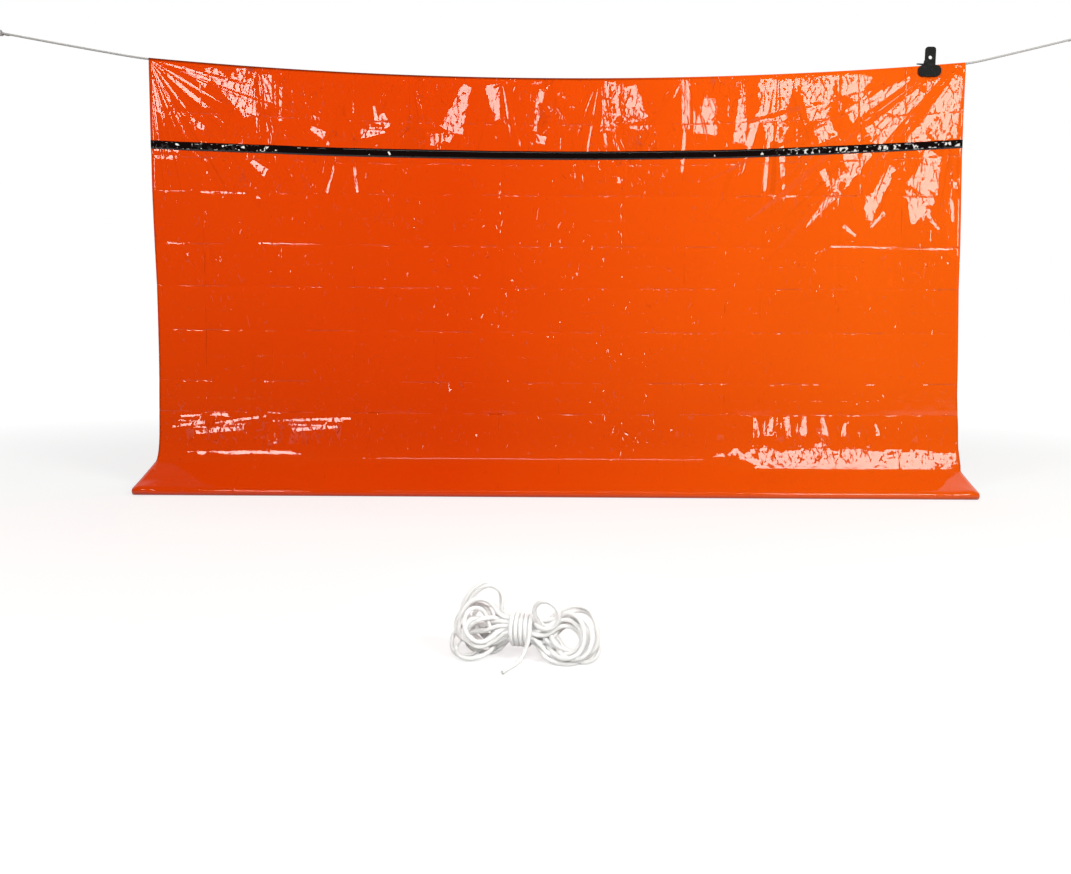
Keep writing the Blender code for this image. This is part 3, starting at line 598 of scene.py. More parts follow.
def knitted_cord(name, colour, recess_shade):
    """Cord whose surface is knitted in columns of small V stitches, with painted shade in the low parts of
    the stitches.
    """
    nodes = Nodes(name, has_uv=True)
    split = nodes.split(nodes.uv)
    column = nodes.math("FRACT", nodes.times(split[1], STITCH_COLUMNS))
    off = nodes.math("ABSOLUTE", nodes.minus(column, 0.5))
    slant = nodes.math("MULTIPLY_ADD", off, 1.5, nodes.math("DIVIDE", split[0], STITCH_LENGTH))
    stitch = nodes.math("SINE", nodes.times(slant, 2 * math.pi))
    crown = nodes.minus(1.0, nodes.math("POWER", nodes.times(off, 2.0), 3.0))
    raised = nodes.times(nodes.math("MULTIPLY_ADD", stitch, 0.35, 0.65), crown)
    fuzzy = nodes.math("MULTIPLY_ADD", nodes.noise(nodes.uv, 900.0, 2.0), 0.25, raised)
    # Painted shade: the low parts of the stitches take the darker recess_shade colour
    tone = nodes.mix(nodes.span(raised, 0.1, 0.8), recess_shade, colour)
    return nodes.finish(Base_Color=tone, Roughness=0.75, Normal=nodes.bump(fuzzy, STITCH_DEPTH),
                        Specular_IOR_Level=0.3, Sheen_Weight=0.25)


def line_route(side, word):
    """The free stretch of the ridge line on one side of the film, from the film's end to its knot."""
    start = line_height(HALF_LENGTH)
    out = HALF_LENGTH + TOUCH_GAP
    return [(side * (out + along), 0.0, start + rise) for along, rise in LINE_ROUTES[word]]


def knot_and_eye_route():
    """The tail, three turns round the line, the eye, and back through the middle of the turns."""
    points = [(-0.016, 0.0072, 0.0), (-0.008, 0.0064, 0.0005)]
    for step in range(37):
        turn = math.radians(30 * step)
        along = 0.0015 + (KNOT_LENGTH - 0.004) * step / 36
        points.append((along, CORD_DIAMETER * math.cos(turn), CORD_DIAMETER * math.sin(turn)))
    points.append((KNOT_LENGTH + 0.002, 0.0035, 0.0035))
    start = KNOT_LENGTH + 2 * TOUCH_GAP
    for step in range(21):
        angle = math.pi * step / 20
        swell = (EYE_WIDTH - EYE_SPREAD) / 2 * EYE_SWELL * math.sin(angle) ** 1.5
        along = start + CORD_DIAMETER + (EYE_LENGTH - CORD_DIAMETER) * math.sin(angle)
        points.append((along, 0.0, math.cos(angle) * (EYE_SPREAD / 2 + swell)))
    return points + [(KNOT_LENGTH, 0.0, -0.0012), (0.010, 0.0, 0.0), (0.0003, 0.0, 0.0)]


def make_ridge_line():
    white = knitted_cord("white_line", rgb(0.64, 0.64, 0.63), rgb(0.46, 0.46, 0.46))
    held = [(x, 0.0, line_height(x)) for x in np.linspace(-HALF_LENGTH, HALF_LENGTH, HELD_POINTS)]
    middle = round_tube("ridge_cord", held, CORD_RADIUS, LINE_SIDES, white)
    dress(middle, "ridge_cord", "ridge_line")
    for side, word in ((-1, "left"), (1, "right")):
        path = smooth_route(line_route(side, word), LINE_STEP)
        line = round_tube("ridge_cord_" + word, path, CORD_RADIUS, LINE_SIDES, white)
        way = (path[-1] - path[-2]).normalized()
        turn = Vector((1, 0, 0)).rotation_difference(way).to_matrix().to_4x4()
        at_end = Matrix.Translation(path[-1]) @ turn
        knot_path = [at_end @ point for point in smooth_route(knot_and_eye_route(), KNOT_STEP)]
        knot = round_tube("knotted_eye_" + word, knot_path, CORD_RADIUS, CORD_SIDES, white)
        dress(line, "ridge_cord", "ridge_line_" + word)
        dress(knot, "ridge_cord", "line_knot_" + word, "line_eye_" + word)


# Hank of spare cord: loops on both sides of a waist, which settle while their strands are pushed apart

def evenly(path, step):
    """Points about a step apart along a path."""
    travelled = np.concatenate([[0.0], np.cumsum(np.linalg.norm(np.diff(path, axis=0), axis=1))])
    at = np.linspace(0, travelled[-1], round(travelled[-1] / step) + 1)
    return np.stack([np.interp(at, travelled, path[:, axis]) for axis in range(3)], axis=1)


def lobe(start, end, side, shape, stack):
    """A drawn-out loop from one end of a strand to another, outside the waist on one side."""
    turn, rise, roll = (math.radians(angle) for angle in shape[:3])
    length, width = shape[3:]
    way = np.array((side * math.cos(rise) * math.cos(turn), math.cos(rise) * math.sin(turn), math.sin(rise)))
    level = np.cross((0.0, 0.0, 1.0), way) * side
    level /= np.linalg.norm(level)
    across = math.cos(roll) * level + math.sin(roll) * np.cross(way, level) * side
    share = np.linspace(0, 1, 26)[1:-1, None]
    middle = start + (end - start) * share + np.cross(way, across) * stack * np.sin(math.pi * share)
    return middle + way * length * np.sin(math.pi * share) + across * width / 2 * np.sin(2 * math.pi * share)


def loops_start():
    """The loops before they settle, with the waist along X and the right lobe towards +X."""
    count = len(LEFT_LOOPS)
    spots = []
    for place in np.random.RandomState(4).permutation(2 * count + 1):
        out = WAIST_RADIUS * math.sqrt((place + 0.5) / (2 * count + 1))
        angle = STRAND_TURN * place
        spots.append(np.array((0.0, out * math.cos(angle), WAIST_HEIGHT + out * math.sin(angle))))
    painted_light_to_right = np.array((WAIST_HALF, 0.0, 0.0))
    path = [spots[0] + painted_light_to_right]
    for loop in range(count):
        going, coming, after = spots[2 * loop:2 * loop + 3]
        path += [going + painted_light_to_right * share for share in (0.4, -0.4, -1.0)]
        path += list(lobe(going - painted_light_to_right, coming - painted_light_to_right, -1, LEFT_LOOPS[loop], 0.0))
        path += [coming + painted_light_to_right * share for share in (-1.0, -0.4, 0.4, 1.0)]
        nested = [first + step * (loop * 7 % (count - 1)) for first, step in (RIGHT_LENGTH, RIGHT_WIDTH)]
        rise = RIGHT_RISE + 2.0 * math.sin(loop * 1.7)
        shape = (1.5 * math.sin(loop * 2.3), rise, RIGHT_ROLL, *nested)
        if loop == count - 1:
            shape = TOP_LOOP
        stack = RIGHT_STACK * (loop + 0.5 - count / 2)
        path += list(lobe(coming + painted_light_to_right, after + painted_light_to_right, 1, shape, stack))
        path.append(after + painted_light_to_right)
    return evenly(np.array(path), HANK_STEP)


def wraps_start():
    """The turns round the waist with the tail in front, and how many of their points are held."""
    turns = np.linspace(-WRAP_TURNS, 0, 151)
    angles = math.pi + 2 * math.pi * turns
    along = WRAP_PITCH * (turns + WRAP_TURNS / 2)
    heights = WAIST_HEIGHT + WRAP_RADIUS * np.sin(angles)
    points = np.stack([along, WRAP_RADIUS * np.cos(angles), heights], axis=1)
    held = round(np.linalg.norm(np.diff(points, axis=0), axis=1).sum() / HANK_STEP)
    tail = points[-1] + np.array(TAIL_ROUTE) * (1, -1, -1)
    return evenly(np.concatenate([points, tail]), HANK_STEP), held


def near_pairs(path, reach):
    """Pairs of points that lie near each other and aren't neighbours along the cord."""
    squares = (path ** 2).sum(axis=1)
    apart = squares[:, None] + squares[None, :] - 2 * path @ path.T
    first, second = np.nonzero(apart < reach * reach)
    kept = second - first > 4
    return first[kept], second[kept]


def straighten(path, joined, span):
    """Opens the bends that are tighter than the cord allows."""
    whole = np.convolve(joined, np.ones(2 * span), "valid")[:, None] > 2 * span - 0.5
    off = (path[:-2 * span] + path[2 * span:]) / 2 - path[span:-span]
    most = (span * HANK_STEP) ** 2 / (2 * BEND_RADIUS)
    far = np.maximum(np.linalg.norm(off, axis=1, keepdims=True), 1e-9)
    push = off * np.maximum(0.0, 1 - most / far) * whole * 0.27
    path[span:-span] += push
    path[:-2 * span] -= push / 2
    path[2 * span:] -= push / 2


def keep_lengths(path, joined):
    """Brings neighbours along the cord back to a step from each other."""
    for start in (0, 1):
        chosen = np.nonzero(joined)[0][start::2]
        gap = path[chosen + 1] - path[chosen]
        push = gap * (1 - HANK_STEP / np.linalg.norm(gap, axis=1, keepdims=True)) * 0.5
        path[chosen] += push
        path[chosen + 1] -= push


def push_apart(path, first, second):
    """Moves strands apart until they lie side by side."""
    gap = path[second] - path[first]
    far = np.maximum(np.linalg.norm(gap, axis=1, keepdims=True), 1e-6)
    close = (far < STRAND_SPACING)[:, 0]
    push = gap[close] / far[close] * (STRAND_SPACING - far[close]) * 0.5
    move = np.zeros_like(path)
    count = np.zeros((len(path), 1))
    for ends, way in ((second[close], 1), (first[close], -1)):
        np.add.at(move, ends, way * push)
        np.add.at(count, ends, 1)
    path += move / np.maximum(1, count * 0.6)


def hold_waist(path):
    """Keeps the strands of the waist inside the turns, which widen like a mouth at both ends."""
    off = path[:, 1:] - (0.0, WAIST_HEIGHT)
    out = np.maximum(np.linalg.norm(off, axis=1), 1e-6)
    along = np.abs(path[:, 0])
    most = WAIST_RADIUS + np.maximum(0.0, along - WAIST_MOUTH) ** 2 / (2 * BEND_RADIUS)
    outside = (along < WAIST_MOUTH_END) & (out > most) & (out < WAIST_RADIUS + CORD_DIAMETER)
    path[:, 1:] -= off * np.where(outside, 0.6 * (1 - most / out), 0.0)[:, None]


def settled_hank():
    """The centrelines of the loops and of the turns with their tail, in the hank's own frame."""
    loops = loops_start()
    wraps, held = wraps_start()
    path = np.concatenate([loops, wraps])
    joined = np.arange(len(path) - 1) != len(loops) - 1
    free = np.ones(len(path), bool)
    free[len(loops):len(loops) + held] = False
    for turn in range(SETTLE_ROUNDS):
        if turn % 8 == 0:
            first, second = near_pairs(path, 2 * CORD_DIAMETER)
        before = path.copy()
        path[:, 2] -= SETTLE_FALL
        for span in (1, 2, 3):
            straighten(path, joined, span)
        for _ in range(5):
            keep_lengths(path, joined)
        for _ in range(3):
            push_apart(path, first, second)
        hold_waist(path)
        path[:, 2] = np.maximum(path[:, 2], LOWEST)
        path[~free] = before[~free]
    smoothed = free[1:-1] & joined[:-1] & joined[1:]
    for _ in range(SMOOTHING_ROUNDS):
        middle = (path[:-2] + path[2:]) / 2
        path[1:-1] += (middle - path[1:-1]) * 0.5 * smoothed[:, None]
    return path[:len(loops)], path[len(loops):]


def make_hank():
    white = knitted_cord("white_cord", rgb(0.99, 0.99, 0.985), rgb(0.93, 0.93, 0.93))
    at_place = Matrix.Translation((*HANK_PLACE, 0.0)) @ Matrix.Rotation(HANK_TURN, 4, "Z")
    names = (("hank_loops", "cord_hank"), ("hank_turns", "hank_wrap"))
    for (name, node), settled in zip(names, settled_hank()):
        path = smooth_route([at_place @ Vector(point) for point in settled], HANK_STEP / 2)
        piece = round_tube(name, path, CORD_RADIUS, CORD_SIDES, white)
        dress(piece, "spare_cord", node)


# Film: the bare section of the tube, then folds, creases and crumples laid over it

def wall_out(share):
    """How far out the wall is at this share of the way down from the line to the kink."""
    return RIDGE_RADIUS + (KINK_HALF_WIDTH - RIDGE_RADIUS) * share ** WALL_CURVE


def toe_first_angle():
    """The angle on the roll at the toe where the flare runs into it."""
    across = TOE_CENTRE[0] - KINK_HALF_WIDTH
    down = TOE_CENTRE[1] - KINK_HEIGHT
    return math.atan2(down, across) + math.asin(TOE_RADIUS / math.hypot(across, down)) + math.pi / 2


def on_toe(angle):
    """Point of the roll at the toe, as (distance out, height)."""
    return TOE_CENTRE[0] + TOE_RADIUS * math.cos(angle), TOE_CENTRE[1] + TOE_RADIUS * math.sin(angle)


def hang(value, x):
    """How far a row lies below the line at each x: the line sags, the band sags less, and the creases are
    straight."""
    bow = (x / HALF_LENGTH) ** 2
    band_fall = np.where(x < 0, BAND_LEFT_FALL, BAND_RIGHT_FALL) * bow
    if value <= BAND_DROP:
        return value + band_fall * value / BAND_DROP
    if value <= BAND_DROP + BAND_WIDTH:
        return value + band_fall
    share = min(1.0, (value - BAND_DROP - BAND_WIDTH) / LEVEL_REACH)
    return value + band_fall + (KINK_START_SHARE * RIDGE_SAG * bow - band_fall) * share


def row_place(zone, value, x):
    """Distance out and height of one row of the section, at every x."""
    top = line_height(x)
    level = 0 * x
    if zone == "ridge":
        return RIDGE_RADIUS * math.sin(value) + level, top + RIDGE_RADIUS * math.cos(value)
    if zone == "wall":
        drop = hang(value, x)
        return wall_out(drop / (top - KINK_HEIGHT)), top - drop
    first = toe_first_angle()
    foot = on_toe(first)
    way = Vector((foot[0] - KINK_HALF_WIDTH, foot[1] - KINK_HEIGHT)).normalized()
    below = (KINK_HALF_WIDTH + way.x * KINK_ROUND, KINK_HEIGHT + way.y * KINK_ROUND)
    if zone == "kink":
        start = (wall_out(KINK_START_SHARE), top - KINK_START_SHARE * (top - KINK_HEIGHT))
        shares = ((1 - value) ** 2, 2 * value * (1 - value), value ** 2)
        out = shares[0] * start[0] + shares[1] * KINK_HALF_WIDTH + shares[2] * below[0]
        return out + level, shares[0] * start[1] + shares[1] * KINK_HEIGHT + shares[2] * below[1]
    if zone == "flare":
        return tuple(above + (end - above) * value + level for above, end in zip(below, foot))
    if zone == "toe":
        return tuple(place + level for place in on_toe(first + (-math.pi / 2 - first) * value))
    return TOE_CENTRE[0] * (1 - value) + level, FILM_THICKNESS / 2 + level


def kink_out(height):
    """Distance out of the plain wall at a height within the kink."""
    spots = [row_place("kink", value, 0.0) for value in np.linspace(0, 1, 21)]
    return float(np.interp(height, [spot[1] for spot in spots][::-1], [spot[0] for spot in spots][::-1]))


def flat_strip(x, out, height):
    """Distance out of the front wall once its lower right part is drawn flat."""
    foot_out, foot_height = on_toe(toe_first_angle())
    line = STRIP_OUT - STRIP_SLOPE * (height - STRIP_LOW)
    below = STRIP_OUT + (foot_out - STRIP_OUT) * (STRIP_LOW - height) / (STRIP_LOW - foot_height)
    at_top = kink_out(STRIP_HIGH) - STRIP_OUT + STRIP_SLOPE * (STRIP_HIGH - STRIP_LOW)
    above = out - at_top * (1 - smooth_step(STRIP_HIGH, STRIP_FADE_HEIGHT, height))
    drawn = np.where(height > STRIP_HIGH, above, np.where(height > STRIP_LOW, line, below))
    return out + (drawn - out) * smooth_step(*STRIP_START, x)


def spaced(start, end, step, exact=(), half_width=0.0):
    """Values from start to end about a step apart, with a close group of three at each exact value."""
    count = max(1, round((end - start) / step))
    values = [start + (end - start) * index / count for index in range(count + 1)]
    for centre in exact:
        if start + half_width < centre < end - half_width:
            clear = 2.2 * half_width
            values = [value for value in values if abs(value - centre) > clear or value in (start, end)]
            values += [centre - half_width, centre, centre + half_width]
    return sorted(values)


def section_rows(wall_step, crease_width, floor_step, has_band):
    """The rows of one half of the section, from the ridge to the middle of the floor."""
    wall_end = KINK_START_SHARE * (LINE_HEIGHT - KINK_HEIGHT)
    drops = spaced(0.0, wall_end, wall_step, HORIZONTAL_CREASES, crease_width)[1:]
    if has_band:
        drops = [drop for drop in drops if abs(drop - BAND_MIDDLE) > BAND_WIDTH * 0.62]
        drops = sorted(drops + [BAND_MIDDLE + BAND_WIDTH * share / 4 for share in (-2, -1, 0, 1, 2)])
    flare_crease = crease_width / FLARE_CREASE_LENGTH
    zones = {
        "ridge": [math.pi / 2 * row / (RIDGE_ROWS - 1) for row in range(RIDGE_ROWS)],
        "wall": drops,
        "kink": (0.17, 0.33, 0.5, 0.67, 0.83, 1.0),
        "flare": spaced(0.0, 1.0, wall_step / FLARE_ROW_LENGTH, (FLARE_CREASE_SHARE,), flare_crease)[1:],
        "toe": (0.2, 0.4, 0.6, 0.8, 1.0),
        "floor": spaced(0.0, 1.0, floor_step / TOE_HALF_WIDTH)[1:],
    }
    return [(zone, value) for zone, values in zones.items() for value in values]


def edge_shift(zone, value, x):
    """How far the film is drawn along the ridge near its two side edges."""
    drop = value if zone == "wall" else {"ridge": 0.0, "kink": 1.06, "flare": 1.10}.get(zone, 1.2)
    spread = value if zone == "flare" else {"toe": 1.0, "floor": 1.0}.get(zone, 0.0)
    left = EDGE_PULL * float(smooth_step(0.15, 0.90, drop)) * (1 - 0.9 * spread)
    right = EDGE_SPREAD * float(smooth_step(0.90, 1.06, drop)) * (1 - spread)
    return left * np.exp(-(x + HALF_LENGTH) / EDGE_REACH) + right * np.exp(-(HALF_LENGTH - x) / EDGE_REACH)


def base_sheet(rows, columns, side):
    """Places and outward normals of the bare sheet, and each row's distance down the film from the line."""
    places = np.zeros((len(rows), len(columns), 3))
    for index, (zone, value) in enumerate(rows):
        out, height = row_place(zone, value, columns)
        if side < 0 and zone in ("wall", "kink", "flare"):
            out = flat_strip(columns, out, height)
        places[index] = np.stack([columns + edge_shift(zone, value, columns), side * out, height], axis=1)
    normals = np.cross(np.gradient(places, axis=1), np.gradient(places, axis=0)) * side
    normals /= np.linalg.norm(normals, axis=2, keepdims=True)
    middle = places[:, len(columns) // 2]
    travelled = np.concatenate([[0.0], np.cumsum(np.linalg.norm(np.diff(middle, axis=0), axis=1))])
    return places, normals, travelled - travelled[RIDGE_ROWS - 1]


def cone_relief(x, fall, cone, random):
    """Straight folds with sharp crests that spread from a point where the film is pulled."""
    start, below, first, last, count, steepness, reach = cone
    knots = np.linspace(math.radians(first), math.radians(last), 2 * count + 1)
    step = knots[1] - knots[0]
    knots[1:-1] += random.uniform(-0.36, 0.36, 2 * count - 1) * step
    heights = random.uniform(0.35, 1.0, 2 * count + 1) * 0.35 * steepness * step
    heights[::2] *= -0.35
    heights[0] = heights[-1] = 0.0
    away, down = x - start, fall - below
    distance = np.hypot(away, down)
    angle = np.arctan2(down, away)
    ends = reach * (0.75 + 0.5 * np.interp(angle, knots, random.uniform(0, 1, len(knots))))
    fade = smooth_step(0.01, 0.06, distance) * np.exp(-((distance / ends) ** 2.5))
    return distance * np.interp(angle, knots, heights) * fade


def ridged(x, y, seed):
    """A ridged noise from 0 to 1, sharp along its crests."""
    return 1 - min(1.0, abs(noise.noise((x, y, seed))) * 2.6)


def hang_relief(x, fall, seed):
    """Folds that hang from the ridge, sharp along their crests and wandering a little."""
    wander = 0.03 * noise.noise((x * 2.0, fall * 2.5, seed + 9.0))
    broad = ridged((x + wander) * 3.4, fall * 0.7, seed)
    narrow = ridged((x + wander) * 9.0, fall * 1.6, seed + 3.0) ** 2
    return HANG_DEPTH * (broad + 0.35 * narrow) * math.exp(-((max(0.0, fall) / HANG_REACH) ** 1.4))


def panel_relief(x, fall, lifts):
    """The flat panels between the package creases, each tilted a little its own way."""
    columns = np.array((-HALF_LENGTH,) + VERTICAL_CREASES + (HALF_LENGTH,))
    rows = np.array((0.0,) + HORIZONTAL_CREASES + (FILM_END,))
    column = np.clip(np.searchsorted(columns, x) - 1, 0, len(columns) - 2)
    row = np.clip(np.searchsorted(rows, fall) - 1, 0, len(rows) - 2)
    s = (x - columns[column]) / (columns[column + 1] - columns[column])
    t = (fall - rows[row]) / (rows[row + 1] - rows[row])
    top = lifts[row, column] * (1 - s) + lifts[row, column + 1] * s
    low = lifts[row + 1, column] * (1 - s) + lifts[row + 1, column + 1] * s
    return PANEL_RISE * (top * (1 - t) + low * t)


def crease_relief(x, fall, seed):
    """The package creases themselves: narrow furrows, broken along their length."""
    depth = 0.0
    for index, line in enumerate(HORIZONTAL_CREASES):
        off = abs(fall - line) / CREASE_HALF_WIDTH
        if off < 3:
            broken = min(1.0, max(0.15, 0.6 + 1.6 * noise.noise((x * 4.0, index * 3.1, seed))))
            depth += broken * math.exp(-off ** 1.5)
    for index, line in enumerate(VERTICAL_CREASES):
        off = abs(x - line) / CREASE_HALF_WIDTH
        if off < 3:
            broken = min(1.0, max(0.0, 0.25 + 1.8 * noise.noise((fall * 5.0, index * 2.3, seed + 5.0))))
            depth += broken * math.exp(-off ** 1.5)
    return -CREASE_DEPTH * depth


def crumple(x, fall, size, seed):
    """Height of flat facets with sharp edges, as in film that was folded small; from 0 at an edge."""
    wander = CRUMPLE_WANDER * noise.noise_vector(Vector((x * 7.0, fall * 7.0, seed + 2.0)))
    spot = Vector(((x + wander.x) / size, (fall + wander.y) / size * 0.62, seed))
    nearest, *others = noise.voronoi(spot, distance_metric="DISTANCE")[1]
    edge = min(((nearest + other) / 2 - spot).dot((other - nearest).normalized()) for other in others)
    sign = 1 if noise.cell(nearest * 7.31) > 0.5 else -0.6
    return sign * edge * size


def crumpled_share(x, fall, seed):
    """How crumpled the film is at a place, from 0 to 1."""
    patchy = noise.noise((x * 2.6, fall * 4.5, seed + 1.0))
    top = float(smooth_step(0.42, 0.10, fall)) if fall < 0.42 else 0.0
    corner = math.exp(-(((abs(x) - 1.10) / 0.42) ** 2) - ((fall - 0.28) / 0.28) ** 2)
    kink_right = math.exp(-(((x - 0.85) / 0.42) ** 2) - ((fall - 1.075) / 0.055) ** 2)
    kink_left = math.exp(-(((x + 0.85) / 0.36) ** 2) - ((fall - 1.07) / 0.045) ** 2)
    corner *= 0.20 if x < 0 else 0.50
    share = PLAIN_CRUMPLED + 0.55 * top + corner + 0.9 * kink_right + 0.8 * kink_left
    return min(1.0, max(LEAST_CRUMPLED, share * (0.8 + 1.5 * patchy)))


def corner_lumps(rows, x):
    """The end of the roll at the toe stands up a little at both corners."""
    heights = {
        "flare": ((0.7, 1.0), (0.0, 1.0)),
        "toe": ((0.0, 0.2, 0.4, 0.6, 0.8), (1.0, 1.0, 0.8, 0.3, 0.0)),
    }
    share = np.array([np.interp(value, *heights[zone]) if zone in heights else 0.0 for zone, value in rows])
    from_end = (HALF_LENGTH - np.abs(x) - LUMP_FROM_END) / LUMP_HALF_LENGTH
    return LUMP_RISE * share[:, None] * np.exp(-from_end ** 2)


def film_relief(rows, columns, travelled, side):
    """How far the film stands out from the bare sheet at each point, and how crumpled it is there."""
    seed = 3.0 if side < 0 else 41.0
    random = np.random.RandomState(5 if side < 0 else 11)
    lifts = random.uniform(-1, 1, (len(HORIZONTAL_CREASES) + 2, len(VERTICAL_CREASES) + 2))
    x, fall = np.broadcast_arrays(columns[None, :], travelled[:, None])
    relief = np.zeros(x.shape)
    for cone in FRONT_CONES if side < 0 else BACK_CONES:
        relief += cone_relief(x, fall, cone, random)
    crumples = np.zeros_like(relief)
    for row, down in enumerate(travelled.tolist()):
        for column, here in enumerate(columns):
            crumples[row, column] = crumpled_share(here, down, seed)
            small = sum(steep * crumple(here, down, size, seed + size) for size, steep in CRUMPLE_SIZES)
            relief[row, column] += hang_relief(here, down, seed) + crease_relief(here, down, seed)
            relief[row, column] += crumples[row, column] * small
    relief += panel_relief(x, fall, lifts)
    from_clip = np.hypot(x - CLIP_PLACE[0], fall - CLIP_PLACE[1])
    shares = [{"ridge": 0.0, "floor": 0.0, "toe": 1 - value}.get(zone, 1.0) for zone, value in rows]
    beside = smooth_step(0.0, 0.018, fall) * smooth_step(CLIP_FLAT * 0.7, CLIP_FLAT * 1.6, from_clip)
    return relief * (beside * np.array(shares)[:, None]) + corner_lumps(rows, x), crumples


# What the film's material reads at each point

def fine_cone_layers(x, fall, cones):
    """For each layer, a number that counts the streaks round their cone, and the way across them, as long as
    they are strong."""
    layers = np.zeros((len(FOLD_LAYERS),) + x.shape + (3,))
    for index, (start, below, first, last, density, reach) in enumerate(cones):
        away, down = x - start, fall - below
        distance = np.hypot(away, down)
        angle = np.degrees(np.arctan2(down, away)) % 360
        inside = smooth_step(first, first + 7, angle) * smooth_step(last, last - 7, angle)
        strength = np.clip(1.25 - distance / reach, 0.0, 1.0) * inside * smooth_step(0.01, 0.10, distance)
        busy = [float((np.hypot(layer[..., 1], layer[..., 2]) * strength).sum()) for layer in layers]
        layer = layers[busy.index(min(busy))]
        own = strength > np.hypot(layer[..., 1], layer[..., 2])
        way = np.radians(angle[own])
        layer[own, 0] = way * density + 3.7 * index
        layer[own, 1] = -np.sin(way) * strength[own]
        layer[own, 2] = -np.cos(way) * strength[own]
    return layers


def flat_places(x, fall):
    """How far across the nearest flat place each point is, in half widths, and how far inside its ends."""
    across_flat = np.full(x.shape, 4.0)
    inside_ends = np.full(x.shape, -0.05)
    deepest = np.full(x.shape, -0.05)
    for start_x, start_down, start_width, end_x, end_down, end_width in FLAT_PLACES:
        length = math.hypot(end_x - start_x, end_down - start_down)
        way_x, way_down = (end_x - start_x) / length, (end_down - start_down) / length
        along = (x - start_x) * way_x + (fall - start_down) * way_down
        across = (x - start_x) * way_down - (fall - start_down) * way_x
        half_width = (start_width + (end_width - start_width) * np.clip(along / length, 0.0, 1.0)) / 2
        ends = np.minimum(along, length - along)
        inside = np.minimum(half_width - np.abs(across), ends)
        own = inside > deepest
        across_flat[own] = np.clip(across / half_width, -4.0, 4.0)[own]
        inside_ends[own] = np.minimum(ends, inside + FRONT_STEP * 1.2)[own]
        deepest = np.maximum(deepest, inside)
    return across_flat, inside_ends


def turned_away(x, fall):
    """How far the film between the flat places is turned away from the light."""
    away = np.zeros(x.shape)
    for amount, start, full, reach in AWAY:
        away += amount * smooth_step(start, full, x) * smooth_step(reach, reach - AWAY_FADE, fall)
    return away


def off_nearest(values, lines):
    """Signed distance of each value from the nearest line."""
    away = np.array(values)[:, None] - np.array(lines)[None, :]
    nearest = np.abs(away).argmin(axis=1)
    return np.clip(away[np.arange(len(nearest)), nearest], -FAR_FROM_CREASE, FAR_FROM_CREASE)


def film_attributes(columns, travelled, crumples, cones=()):
    """The attributes of a sheet's points. A sheet without cones has no flat places either."""
    x, fall = np.meshgrid(columns, travelled)
    layers = fine_cone_layers(x, fall, cones)
    streaked = np.hypot(layers[..., 1], layers[..., 2]).max(axis=0)
    across_flat, inside_ends = flat_places(x, fall)
    away = turned_away(x, fall)
    if not cones:
        inside_ends, away = np.full(x.shape, -1.0), np.zeros(x.shape)
    lean_across = np.where(x < LEAN_CHANGE, LEAN_LEFT, LEAN_RIGHT) + LEAN_ALONG * x
    lean_down = np.where(fall < STRIP_TOP, LEAN_DOWN[0] + LEAN_DOWN[1] * fall, STRIP_LEAN)
    creases = np.meshgrid(off_nearest(columns, VERTICAL_CREASES), off_nearest(travelled, HORIZONTAL_CREASES))
    return {
        "crumpled": crumples * (1 - STREAKS_OVER_FACETS * np.clip(streaked, 0.0, 1.0)),
        "creases": np.stack([creases[0], 0 * x, creases[1]], axis=2),
        **dict(zip(FOLD_LAYERS, layers)),
        "flat_spot": np.stack([across_flat, inside_ends, away], axis=2),
        "flat_lean": np.stack([lean_across, 0 * x, lean_down], axis=2),
    }


def sheet_mesh(name, places, travelled, columns, attributes):
    """A mesh over the grid of places, with its UV map in metres along the film and these attributes."""
    last_row, last_column = len(travelled) - 1, len(columns) - 1
    shape = bmesh.new()
    bmesh.ops.create_grid(shape, x_segments=last_column, y_segments=last_row, size=0.5)
    layers = []
    for key, values in attributes.items():
        kind = shape.verts.layers.float_vector if values.ndim == 3 else shape.verts.layers.float
        layers.append((kind.new(key), values))
    uv = shape.loops.layers.uv.new("UVMap")
    grid_spot = {}
    for vertex in shape.verts:
        row, column = round((0.5 - vertex.co.y) * last_row), round((vertex.co.x + 0.5) * last_column)
        grid_spot[vertex] = (columns[column], travelled[row])
        vertex.co = places[row, column]
        for layer, values in layers:
            vertex[layer] = values[row, column]
    for face in shape.faces:
        face.smooth = True
        for loop in face.loops:
            loop[uv].uv = grid_spot[loop.vert]
    return mesh_of(shape, name)


# Materials of the film: slopes that turn its normal, added up

def lean(nodes, colour, steepness):
    """A slope of this steepness across or down the film, its way taken from a random colour."""
    flat = nodes.vector("MULTIPLY", nodes.vector("SUBTRACT", colour, (0.5, 0.5, 0.5)), (1.0, 0.0, 1.0))
    return nodes.scaled(nodes.vector("NORMALIZE", flat), steepness)


def cells(nodes, scale, stretch, turn):
    """Where each point lies among bent cells about 1/scale metres across, as a Voronoi texture's inputs."""
    mapping = {"Vector": nodes.uv, "Rotation": (0, 0, turn), "Scale": (1.0, stretch, 1.0)}
    turned = nodes.add("Mapping", mapping).outputs["Vector"]
    warp = nodes.add("TexNoise", {"Vector": turned, "Scale": scale * 0.6, "Detail": 0.0}).outputs["Color"]
    return {"Vector": nodes.vector("MULTIPLY_ADD", warp, (0.5 / scale,) * 3, turned), "Scale": scale}


def facets(nodes, scale, steepness, stretch, turn, covered):
    """Slopes of flat facets with sharp edges, on the share of the film that is covered."""
    place = cells(nodes, scale, stretch, turn)
    colour = nodes.add("TexVoronoi", place, voronoi_dimensions="2D").outputs["Color"]
    return nodes.scaled(lean(nodes, colour, steepness), nodes.less(nodes.split(colour)[1], covered))


